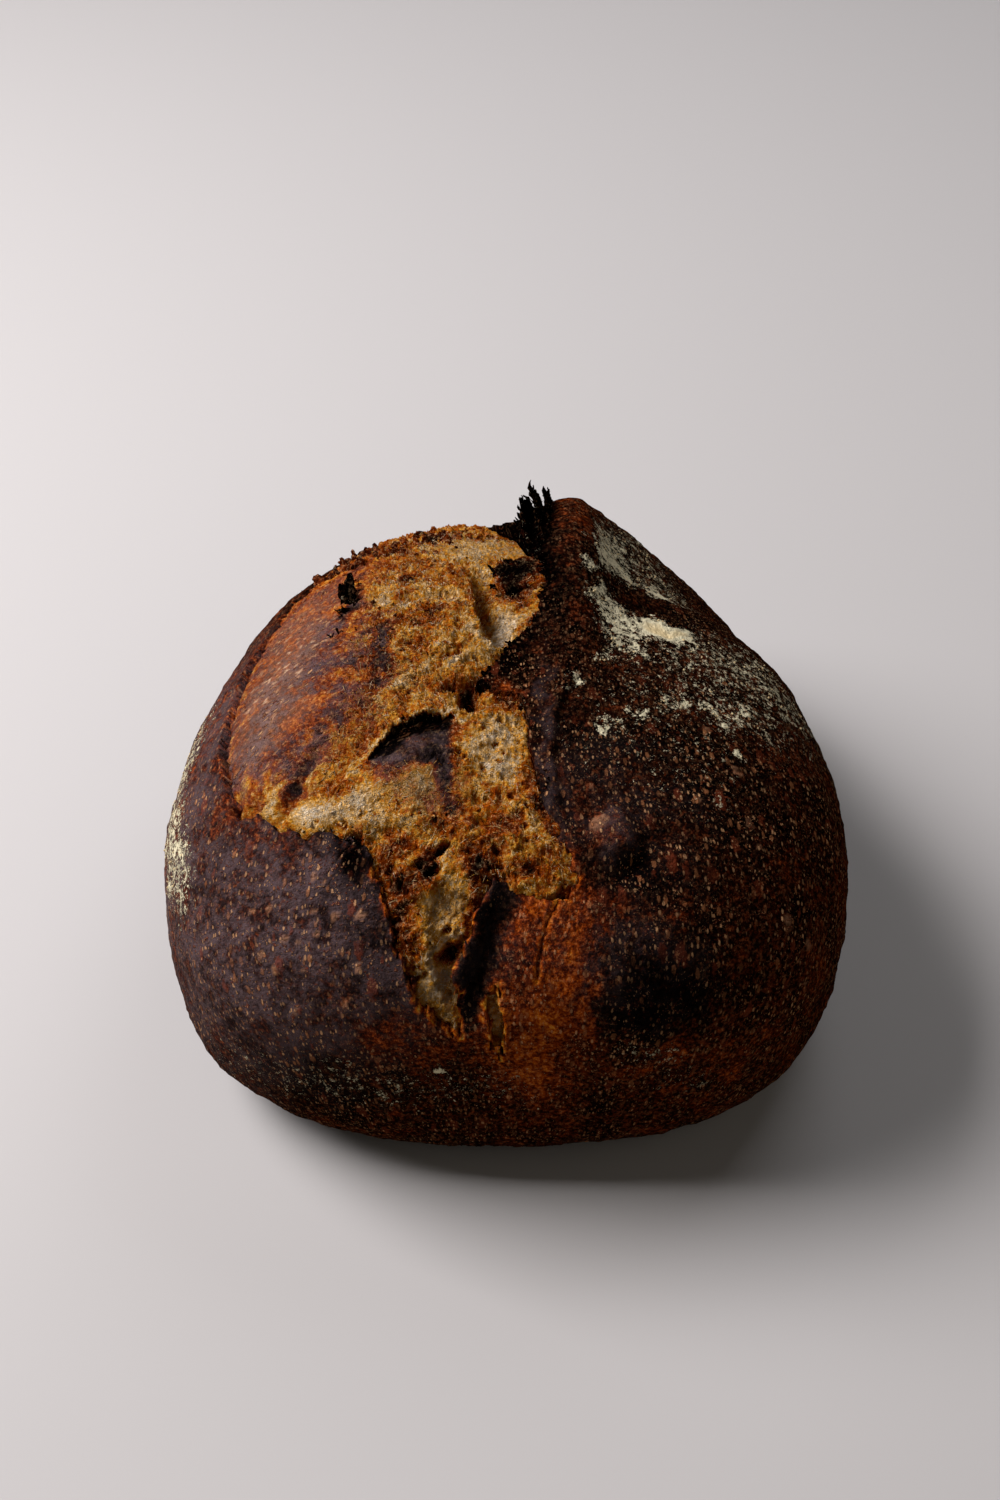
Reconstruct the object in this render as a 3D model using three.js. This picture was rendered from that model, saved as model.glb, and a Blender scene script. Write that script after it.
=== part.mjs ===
// Sourdough loaf: a tall round hearth loaf about 24 cm across, scored crosswise and torn open by the oven.
// It is one closed solid, in millimetres: +X to the right, +Y to the back, +Z up, its flat base on z = 0.
//
// Places on the crust are pairs of numbers, east and north of the crown. They are millimetres measured over
// a sphere of crownRadius, so that a place can be followed from the crown down the side of the loaf.

import * as THREE from "three";

// The body of the loaf, before any tear
const halfWidth = 115.4; // of the plan's outline at its middle, left to right
const halfDepth = 127; // of the plan's outline, front to back
const crownRise = 87.8; // from the widest level up to the crown
const bellyDrop = 64.7; // from the widest level down to where the belly would close
const baseLevel = 0.8 * bellyDrop; // how far under the widest level the belly is flattened on the oven floor
const planSquareness = 2.52; // an exponent: 2 is round, more is boxier and less is nearer to a ridge
const crownSquareness = { front: 2.83, back: 1.73 };
const bellySquareness = 3.2;
const backTaper = 0.142; // how much narrower the plan is at the back, and wider at the front
const baseRound = 9; // how softly the belly rolls on to the flat base
const crest = { x: 20.2, y: 56, halfWide: 14, halfLong: 56.5, rise: 17.8 }; // the high ridge under the ear
const crownRadius = 120; // of the sphere that east and north are measured on

// The grid that the skin is drawn on
const domeCells = 64; // cells across the dome, each way
const domeReach = 226; // from the crown to the dome grid's rim, below the widest level
const skirtRings = [236, 247, 262, 300]; // further rings, under the belly to the base's middle
const middleDensity = 0.72; // the cells' size at the crown against an even grid
const edgePull = { share: 0.75, reach: 8 }; // how strongly the grid is drawn in to a torn edge
const edgeWidth = 2; // across which a torn edge steps down

// Torn edges. Each is a line of [east, north, drop] with the torn side on its left: at the edge that side
// lies lower by the drop, and it climbs back over the fade. The crust side curls up by a share of the drop.
const earEdge = {
  fade: 17,
  curl: 0.12,
  line: [
    [3.3, -110.2, 0], [17.4, -115.9, 1.5], [23, -108.5, 2.5], [16.4, -91.9, 3.5], [11.7, -77.3, 5],
    [8, -57.2, 6],
    [7.1, -42.4, 6], [-3.1, -37.9, 5], [-10.5, -31.5, 4], [-3, -21, 6], [3.5, -9.5, 6],
    [12, 0.2, 4.5], [16, 16.5, 4.5],
    [8, 27.5, 7], [-3.7, 28.3, 9], [-4.5, 41, 11], [4.5, 54, 12], [6.5, 70, 12], [7, 88, 9.5],
    [-3.4, 118.6, 4.5], [-21.5, 144, 0],
  ],
};
const flapEdge = {
  fade: 12,
  curl: 0.25,
  line: [
    [-16.5, -160.2, 0], [-15.5, -148.1, 4], [-16.4, -136.4, 6], [-14.5, -130.7, 7],
    [-7.9, -119.4, 6], [-4.2, -112, 3], [-2.3, -105.6, 0],
  ],
};
const lowerLobeEdge = {
  fade: 9,
  curl: 0.15,
  line: [
    [-121.5, 34.3, 0], [-122.3, 8.5, 3], [-118.2, -11.6, 3.5], [-112.5, -36.6, 4],
    [-105.4, -55.7, 5], [-96.6, -72.2, 6], [-86.8, -79, 6],
    [-75.1, -84.8, 5.5], [-62.4, -89.9, 5], [-50.6, -94.2, 6], [-44.2, -103.1, 5],
    [-39.7, -117.6, 5], [-34.2, -132.5, 5],
    [-28.7, -148, 4], [-16.5, -159.2, 0],
  ],
};
const fissureEdge = {
  fade: 8,
  curl: 0.12,
  line: [
    [-12.4, -46.4, 0], [-23.5, -46.7, 8], [-31.8, -46.9, 11], [-40.2, -50.8, 12],
    [-47.5, -56.4, 11], [-51.2, -64.6, 6], [-54, -71, 0],
  ],
};
const hollowEdge = {
  fade: 13,
  curl: 0.1,
  line: [
    [-24.5, 75.8, 0], [-20.6, 57.4, 4], [-16.8, 37.8, 6], [-15, 18.3, 8], [-12.2, 3.3, 8],
    [-8.5, -6.1, 5], [-2.1, -11.5, 0],
  ],
};
const tornEdges = [earEdge, flapEdge, lowerLobeEdge, fissureEdge, hollowEdge];

// Swellings, and hollows where the rise is negative.
// Each is [east, north, half length, half width, turn in degrees, rise].
const swellings = [
  [-107, -145, 50, 40, 0, 2.1], // the lower left lobe
  [96, -145, 48, 40, 0, 2.4], // the lower right lobe
  [-14.9, -181.2, 20, 34, 90, -3], // the waist under the front cut
  [112, 78, 46, 34, 0, -6.7], // the right shoulder falls away behind
  [-42, 112, 34, 42, 0, 1.7], // behind the open left quarter
  [-36.4, 1, 24, 34, 90, 4], // the golden mound of the open left quarter
  [-85.6, -38.9, 26, 40, 90, 2.5], // the stretched lobe left of it
  [-38.4, -73.3, 15, 12, 20, 5], // the dark bump under the fissure
  [12.7, -101.1, 13, 10, 30, 1.5], // the torn shelf at the front right
  [30.4, -97.5, 7, 5, 35, 3], // a blister
  [45.7, -142.1, 20, 17, 0, 3], // the burnt swelling at the front right
  [-16.1, -38.2, 4.5, 8, 0, -6], // the hole at the middle of the cross
  [-51.5, -94.2, 5, 5, 0, -5], // the notch where the two cuts meet
  [-19.2, -133.5, 5, 6, 0, -3], // a gas hole low in the front cut
];

// Grooves, and folds where the depth is negative: a line of [east, north], its half width and its depth
const grooves = [
  // burnt valley by the flap
  { halfWide: 5, depth: 5, line: [[0.5, -115.8], [-3.2, -127], [-8.9, -138.4], [-12.7, -152.1]] },
  // crease between two swollen lobes
  { halfWide: 3, depth: 3, line: [[-70.4, -59.8], [-73.2, -69.7], [-77.8, -78.7]] },
  // short tear beside the front cut
  { halfWide: 3, depth: 3, line: [[-4.2, -142.3], [-2.3, -156.3], [-1.4, -174.8]] },
  // fold behind the ear
  { halfWide: 4, depth: -2, line: [[32.5, 7], [27.6, -27.3], [19.2, -46], [16.4, -68.2], [17.3, -91]] },
  // fold across the golden mound
  { halfWide: 4, depth: -2, line: [[-62.4, 24.6], [-42, 23.7], [-18.7, 23.7]] },
];

const smooth = (from, to, x) => THREE.MathUtils.smoothstep(x, from, to);

// The direction from the body's middle to a place on the crust.
function toward(east, north) {
  const away = Math.hypot(east, north) / crownRadius;
  const spread = away > 1e-9 ? Math.sin(away) / away / crownRadius : 1 / crownRadius;
  return new THREE.Vector3(east * spread, north * spread, Math.cos(away));
}

// The larger of a and b, with their corner rounded off over the given width.
function softMax(a, b, width) {
  const near = Math.max(width - Math.abs(a - b), 0);
  return Math.max(a, b) + (near * near) / width / 4;
}

// The smooth body in a direction: a rounded box that narrows to the back, with the crest raised on it.
function bodyPoint(direction) {
  const above = direction.z > 0;
  const toBack = 0.5 + 0.5 * Math.tanh(2 * direction.y);
  const crown = THREE.MathUtils.lerp(crownSquareness.front, crownSquareness.back, toBack);
  const squareness = above ? crown : bellySquareness;
  const rise = above ? crownRise : bellyDrop;
  const across = Math.abs(direction.x / halfWidth);
  const along = Math.abs(direction.y / halfDepth);
  const plan = across ** planSquareness + along ** planSquareness;
  const upright = Math.abs(direction.z / rise) ** squareness;
  const reach = (plan ** (squareness / planSquareness) + upright) ** (-1 / squareness);
  const point = direction.clone().multiplyScalar(reach);
  point.x *= 1 - (backTaper * point.y) / halfDepth;
  const height = Math.min(Math.max(point.z / crownRise, 0), 1);
  const off = ((point.x - crest.x) / crest.halfWide) ** 2 + ((point.y - crest.y) / crest.halfLong) ** 2;
  point.addScaledVector(direction, crest.rise * Math.exp(-off) * Math.sqrt(height));
  point.z = softMax(point.z + baseLevel, 0, baseRound);
  return point;
}

// The body's outward normal in a direction, from two small steps across it.
function bodyNormal(direction) {
  const step = 0.01;
  const side = Math.abs(direction.y) < 0.9 ? new THREE.Vector3(0, 1, 0) : new THREE.Vector3(1, 0, 0);
  const first = side.cross(direction).normalize().multiplyScalar(step);
  const second = direction.clone().cross(first);
  const ahead = (move) => bodyPoint(direction.clone().add(move).normalize());
  const across = ahead(first).sub(ahead(first.clone().negate()));
  const along = ahead(second).sub(ahead(second.clone().negate()));
  return across.cross(along).normalize();
}

// The nearest point of a line to a place: its distance, its side (left is positive) and its third value.
function nearest(line, east, north) {
  let best = { distance: Infinity };
  for (let i = 0; i + 1 < line.length; i++) {
    const [e0, n0, v0 = 0] = line[i];
    const [e1, n1, v1 = 0] = line[i + 1];
    const [de, dn] = [e1 - e0, n1 - n0];
    const along = ((east - e0) * de + (north - n0) * dn) / (de * de + dn * dn);
    const t = Math.min(Math.max(along, 0), 1);
    const [pe, pn] = [e0 + t * de, n0 + t * dn];
    const distance = Math.hypot(east - pe, north - pn);
    if (distance < best.distance - 1e-9) {
      const left = de * (north - n0) - dn * (east - e0) >= 0 ? 1 : -1;
      best = { distance, left, east: pe, north: pn, value: v0 + t * (v1 - v0) };
    }
  }
  return best;
}

// A share from 1 at the middle of a round patch to nothing well outside it.
function patch([east, north, halfLong, halfWide, turn], e, n) {
  const angle = THREE.MathUtils.degToRad(turn);
  const long = ((e - east) * Math.cos(angle) + (n - north) * Math.sin(angle)) / halfLong;
  const wide = ((n - north) * Math.cos(angle) - (e - east) * Math.sin(angle)) / halfWide;
  return Math.exp(-(long * long + wide * wide));
}

// How far the skin stands out from the smooth body at a place on the crust.
function relief(east, north) {
  let out = 0;
  for (const edge of tornEdges) {
    const at = nearest(edge.line, east, north);
    const signed = at.distance * at.left;
    const torn = smooth(-edgeWidth / 2, edgeWidth / 2, signed);
    const away = Math.exp(-at.distance / edge.fade);
    out += at.value * away * (edge.curl * (1 - torn) - torn);
  }
  for (const swelling of swellings) out += swelling[5] * patch(swelling, east, north);
  for (const groove of grooves) {
    const at = nearest(groove.line, east, north);
    out -= groove.depth * Math.exp(-((at.distance / groove.halfWide) ** 2));
  }
  return out;
}

// Draws a place in towards the torn edges near it, so that the grid's cells are small there. It stays on its
// own side of the edge, clear of the step.
function drawnIn(east, north) {
  for (const edge of tornEdges) {
    const at = nearest(edge.line, east, north);
    const pull = edgePull.share * Math.exp(-((at.distance / edgePull.reach) ** 2)) * smooth(0, 2, at.value);
    const nearer = Math.max(at.distance * (1 - pull), (edgeWidth / 2) * smooth(0, 2, at.value));
    const share = 1 - nearer / Math.max(at.distance, 0.01);
    east += (at.east - east) * share;
    north += (at.north - north) * share;
  }
  return [east, north];
}

// The finished skin at a place on the crust. The base stays flat.
function skinPoint(east, north) {
  const direction = toward(east, north);
  const point = bodyPoint(direction);
  const clearOfBase = smooth(2, 14, point.z);
  if (clearOfBase > 0) point.addScaledVector(bodyNormal(direction), relief(east, north) * clearOfBase);
  return point;
}

// A square grid's cell corner as a place within the dome's round rim, with finer cells at the crown.
function domePlace(column, row) {
  const even = [column, row].map((i) => (2 * i) / domeCells - 1);
  const [u, v] = even.map((s) => s * (middleDensity + (1 - middleDensity) * s * s));
  return [domeReach * u * Math.sqrt(1 - (v * v) / 2), domeReach * v * Math.sqrt(1 - (u * u) / 2)];
}

// The whole skin: the dome's grid, the skirt's rings that hang from its rim, and a fan at the base's middle.
// Each cell is split along the diagonal whose ends differ least in relief, so that it follows the tears.
function loafGeometry() {
  const points = [];
  const heights = [];
  const faces = [];
  const across = domeCells + 1;
  for (let row = 0; row < across; row++) {
    for (let column = 0; column < across; column++) {
      const place = drawnIn(...domePlace(column, row));
      points.push(skinPoint(...place));
      heights.push(relief(...place));
    }
  }
  const quad = (a, b, c, d) => {
    const level = Math.abs(heights[a] - heights[c]) <= Math.abs(heights[b] - heights[d]);
    if (level) faces.push(a, b, c, a, c, d);
    else faces.push(a, b, d, b, c, d);
  };
  for (let row = 0; row < domeCells; row++) {
    for (let column = 0; column < domeCells; column++) {
      const a = row * across + column;
      quad(a, a + 1, a + across + 1, a + across);
    }
  }
  const rim = [];
  for (let i = 0; i < domeCells; i++) rim.push([i, 0]);
  for (let i = 0; i < domeCells; i++) rim.push([domeCells, i]);
  for (let i = domeCells; i > 0; i--) rim.push([i, domeCells]);
  for (let i = domeCells; i > 0; i--) rim.push([0, i]);
  let outer = rim.map(([column, row]) => row * across + column);
  for (const reach of skirtRings) {
    const inner = rim.map(([column, row]) => {
      const [east, north] = domePlace(column, row);
      const longer = reach / Math.hypot(east, north);
      heights.push(0);
      return points.push(skinPoint(east * longer, north * longer)) - 1;
    });
    outer.forEach((_, i) => {
      const next = (i + 1) % outer.length;
      quad(outer[next], outer[i], inner[i], inner[next]);
    });
    outer = inner;
  }
  const middle = points.push(new THREE.Vector3(0, 0, 0)) - 1;
  outer.forEach((corner, i) => faces.push(middle, outer[(i + 1) % outer.length], corner));
  const geometry = new THREE.BufferGeometry().setFromPoints(points);
  geometry.setIndex(faces);
  geometry.computeVertexNormals();
  return geometry;
}

const crustLook = { name: "crust", color: 0x5a2f18, roughness: 0.6, metalness: 0 };
const crust = new THREE.MeshStandardMaterial(crustLook);
const loaf = new THREE.Mesh(loafGeometry(), crust);
loaf.name = "loaf";

// The origin is under the middle of the loaf's box.
loaf.geometry.computeBoundingBox();
const middle = loaf.geometry.boundingBox.getCenter(new THREE.Vector3());
loaf.geometry.translate(-middle.x, -middle.y, 0);

const group = new THREE.Group();
group.name = "sourdough_loaf";
group.add(loaf);

export default group;
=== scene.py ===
import math

import bpy
import numpy as np
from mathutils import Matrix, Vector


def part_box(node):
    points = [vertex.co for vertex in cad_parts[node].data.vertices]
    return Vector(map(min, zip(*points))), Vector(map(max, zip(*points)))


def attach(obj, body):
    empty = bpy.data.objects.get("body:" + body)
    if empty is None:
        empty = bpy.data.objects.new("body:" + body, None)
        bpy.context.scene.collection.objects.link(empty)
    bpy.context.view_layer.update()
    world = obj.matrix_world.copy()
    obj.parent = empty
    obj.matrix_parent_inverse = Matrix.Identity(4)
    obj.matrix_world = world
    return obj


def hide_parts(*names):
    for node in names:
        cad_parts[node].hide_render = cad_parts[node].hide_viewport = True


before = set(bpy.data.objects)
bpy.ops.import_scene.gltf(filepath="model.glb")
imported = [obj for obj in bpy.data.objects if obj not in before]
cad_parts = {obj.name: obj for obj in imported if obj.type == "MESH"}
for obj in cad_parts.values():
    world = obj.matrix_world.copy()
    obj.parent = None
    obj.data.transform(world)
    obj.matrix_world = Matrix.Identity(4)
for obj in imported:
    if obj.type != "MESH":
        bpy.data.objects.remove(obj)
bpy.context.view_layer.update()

# A sourdough boule, torn open by the oven. Lengths are millimetres until a mesh is made.
# A place on the loaf is east and north of the crown, in millimetres over a sphere of crownRadius.

body = {
    "halfWidth": 115.4, "halfDepth": 127, "crownRise": 87.8, "bellyDrop": 64.7, "baseLevel": 0.8 * 64.7,
    "planSquareness": 2.52, "crownFront": 2.83, "crownBack": 1.73, "bellySquareness": 3.2,
    "backTaper": 0.142, "baseRound": 9, "crownRadius": 120,
    "crest": {"x": 20.2, "y": 56, "halfWide": 14, "halfLong": 56.5, "rise": 17.8},
}

# Broad swellings: east, north, half length, half width, turn in degrees, rise
swellings = [
    (-107, -145, 50, 40, 0, 2.1), (96, -145, 48, 40, 0, 2.4), (-14.9, -181.2, 20, 34, 90, -3),
    (112, 78, 46, 34, 0, -6.7), (-42, 112, 34, 42, 0, 1.7), (-36.4, 1, 24, 34, 90, 4),
    (-85.6, -38.9, 26, 40, 90, 2.5), (-38.4, -73.3, 15, 12, 20, 5), (12.7, -101.1, 13, 10, 30, 1.5),
    (45.7, -142.1, 20, 17, 0, 3),
]


# Smoothstep: nothing below the first edge, one above the second, a cubic between them.
def smooth(start, end, x):
    t = np.clip((x - start) / (end - start), 0, 1)
    return t * t * (3 - 2 * t)


# A repeatable random number from 0 to 1 for each whole-number pair, by multiplying and folding bits.
def lattice(i, j, seed):
    n = (i.astype(np.int64) * 374761393 + j.astype(np.int64) * 668265263 + seed * 974126177) & 0xFFFFFFFF
    n = ((n ^ (n >> 13)) * 1274126177) & 0xFFFFFFFF
    return (n ^ (n >> 16)) / 4294967296.0


# Gradient noise, about -1 to 1: slopes at random angles on a unit lattice, blended with a quintic.
def noise(u, v, seed):
    i, j = np.floor(u), np.floor(v)
    fu, fv = u - i, v - j
    su, sv = (f * f * f * (f * (f * 6 - 15) + 10) for f in (fu, fv))
    total = np.zeros_like(u)
    for di in (0, 1):
        for dj in (0, 1):
            angle = 2 * np.pi * lattice(i + di, j + dj, seed)
            slope = np.cos(angle) * (fu - di) + np.sin(angle) * (fv - dj)
            total += slope * (su if di else 1 - su) * (sv if dj else 1 - sv)
    return total * 1.5


# Noise over several octaves: each has twice the detail and a given share of the strength of the last.
def clouds(u, v, seed, octaves=3, share=0.5):
    total, strength = np.zeros_like(u), 1.0
    for octave in range(octaves):
        total += strength * noise(u * 2**octave, v * 2**octave, seed + octave)
        strength *= share
    return total


# Threads: one minus the size of noise, squared, which makes thin ridges where the noise crosses nothing.
def threads(u, v, seed):
    return (1 - np.minimum(np.abs(noise(u, v, seed)) * 1.6, 1)) ** 2


# Cells round random points, one in each unit square: distances to the nearest and second, and its number.
def cells(u, v, seed):
    i, j = np.floor(u), np.floor(v)
    first, second = np.full_like(u, 9.0), np.full_like(u, 9.0)
    own = np.zeros_like(u)
    for di in (-1, 0, 1):
        for dj in (-1, 0, 1):
            ci, cj = i + di, j + dj
            away = np.hypot(u - ci - lattice(ci, cj, seed), v - cj - lattice(ci, cj, seed + 1))
            nearer = away < first
            second = np.where(nearer, first, np.minimum(second, away))
            own = np.where(nearer, lattice(ci, cj, seed + 2), own)
            first = np.minimum(first, away)
    return first, second, own


# The direction from the body's middle to a place: away from the crown by its distance over crownRadius.
def toward(east, north):
    away = np.hypot(east, north) / body["crownRadius"]
    spread = np.sin(away) / np.maximum(away, 1e-9) / body["crownRadius"]
    return np.stack([east * spread, north * spread, np.cos(away)], -1)


# The smooth body: a superellipsoid whose crown grows pointed to the back, tapered in plan, with a Gaussian
# crest, and its belly flattened on the base by a rounded maximum.
def bodyPoint(east, north):
    d = toward(east, north)
    x, y, z = d[..., 0], d[..., 1], d[..., 2]
    above = z > 0
    toBack = 0.5 + 0.5 * np.tanh(2 * y)
    crown = body["crownFront"] + (body["crownBack"] - body["crownFront"]) * toBack
    squareness = np.where(above, crown, body["bellySquareness"])
    rise = np.where(above, body["crownRise"], body["bellyDrop"])
    plan = np.abs(x / body["halfWidth"]) ** body["planSquareness"]
    plan += np.abs(y / body["halfDepth"]) ** body["planSquareness"]
    upright = np.abs(z / rise) ** squareness
    reach = (plan ** (squareness / body["planSquareness"]) + upright) ** (-1 / squareness)
    point = d * reach[..., None]
    point[..., 0] *= 1 - body["backTaper"] * point[..., 1] / body["halfDepth"]
    crest = body["crest"]
    height = np.clip(point[..., 2] / body["crownRise"], 0, 1)
    off = ((point[..., 0] - crest["x"]) / crest["halfWide"]) ** 2
    off += ((point[..., 1] - crest["y"]) / crest["halfLong"]) ** 2
    point += d * (crest["rise"] * np.exp(-off) * np.sqrt(height))[..., None]
    level = point[..., 2] + body["baseLevel"]
    near = np.maximum(body["baseRound"] - np.abs(level), 0)
    point[..., 2] = np.maximum(level, 0) + near * near / body["baseRound"] / 4
    return point


# The outward normal: the cross product of two short steps over the body, east and north.
def bodyNormal(east, north, step=0.4):
    across = bodyPoint(east + step, north) - bodyPoint(east - step, north)
    along = bodyPoint(east, north + step) - bodyPoint(east, north - step)
    normal = np.cross(across, along)
    return normal / np.maximum(np.linalg.norm(normal, axis=-1, keepdims=True), 1e-9)


# A point held out from the smooth body by a height, over the place it is shifted to.
def raised(east, north, height, shiftEast=0, shiftNorth=0):
    e, n = east + shiftEast, north + shiftNorth
    point = bodyPoint(e, n)
    clearOfBase = smooth(2, 14, point[..., 2])
    return point + bodyNormal(e, n) * (height * clearOfBase)[..., None]


# The nearest point of a line: distance, side (1 is left), that point's place, its values and length along it.
def nearest(line, east, north, closed=False):
    rows = np.array(line + [line[0]] if closed else line, float)
    best = np.full(east.shape, 1e9)
    left, pe, pn, along = (np.zeros(east.shape) for _ in range(4))
    values = np.zeros(east.shape + (rows.shape[1] - 2,))
    start = 0.0
    for a, b in zip(rows[:-1], rows[1:]):
        de, dn = b[0] - a[0], b[1] - a[1]
        t = np.clip(((east - a[0]) * de + (north - a[1]) * dn) / (de * de + dn * dn), 0, 1)
        qe, qn = a[0] + t * de, a[1] + t * dn
        away = np.hypot(east - qe, north - qn)
        won = away < best - 1e-9
        best = np.where(won, away, best)
        left = np.where(won, np.where(de * (north - a[1]) - dn * (east - a[0]) >= 0, 1, -1), left)
        pe, pn = np.where(won, qe, pe), np.where(won, qn, pn)
        along = np.where(won, start + t * math.hypot(de, dn), along)
        values = np.where(won[..., None], a[2:] + t[..., None] * (b[2:] - a[2:]), values)
        start += math.hypot(de, dn)
    return {"distance": best, "left": left, "east": pe, "north": pn, "along": along, "values": values}


# The unit direction across a line at a place: away from it on its left, toward it on its right.
def acrossLine(at, east, north):
    turn = np.where(at["left"] > 0, 1, -1) / np.maximum(at["distance"], 1e-6)
    return (east - at["east"]) * turn, (north - at["north"]) * turn


# Inside a closed outline where a ray to the east crosses its sides an odd number of times.
def inside(outline, east, north):
    odd = np.zeros(east.shape, bool)
    rows = np.array(outline, float)[:, :2]
    for a, b in zip(rows, np.roll(rows, -1, 0)):
        if a[1] == b[1]:
            continue
        crosses = (a[1] > north) != (b[1] > north)
        odd ^= crosses & (east < a[0] + (north - a[1]) * (b[0] - a[0]) / (b[1] - a[1]))
    return odd


# A patch's share: exp of minus a power of the distance from its middle, over its half length and half width.
def patch(row, east, north, power=2):
    angle = math.radians(row[4])
    long = ((east - row[0]) * math.cos(angle) + (north - row[1]) * math.sin(angle)) / row[2]
    wide = ((north - row[1]) * math.cos(angle) - (east - row[0]) * math.sin(angle)) / row[3]
    return np.exp(-((long * long + wide * wide) ** (power / 2)))


# A value painted over places: each patch in turn mixes in its own value, with an uneven, fairly crisp rim.
def painted(base, patches, east, north, seed, uneven=4.0):
    e = east + uneven * clouds(east / 11, north / 11, seed, 3)
    n = north + uneven * clouds(east / 11, north / 11, seed + 40, 3)
    value = np.full(east.shape, float(base))
    for row in patches:
        share = row[6] * patch(row, e, n, 3)
        value += (row[5] - value) * share
    return value


# The sum of the broad swellings' Gaussians.
def broadRelief(east, north):
    return sum(row[5] * patch(row, east, north) for row in swellings)


# The sum of noise at several sizes, from rows of size in mm, strength, seed and octaves.
def waves(rows, east, north):
    return sum(row[1] * clouds(east / row[0], north / row[0], row[2], row[3]) for row in rows)


# A bell curve, one in its middle: exp of minus the square of x over its width.
def bell(x, width):
    return np.exp(-((x / width) ** 2))


# Places moved by noise at three sizes, so that an edge measured from them comes out ragged.
def raggedPlaces(east, north, coarse=1.5, fine=0.8):
    e, n = east, north
    for size, strength, seed in ((9.0, 1.2 * coarse, 1), (3.1, coarse, 3), (1.15, fine, 5)):
        e = e + strength * noise(east / size, north / size, seed)
        n = n + strength * noise(east / size, north / size, seed + 1)
    return e, n


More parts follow.
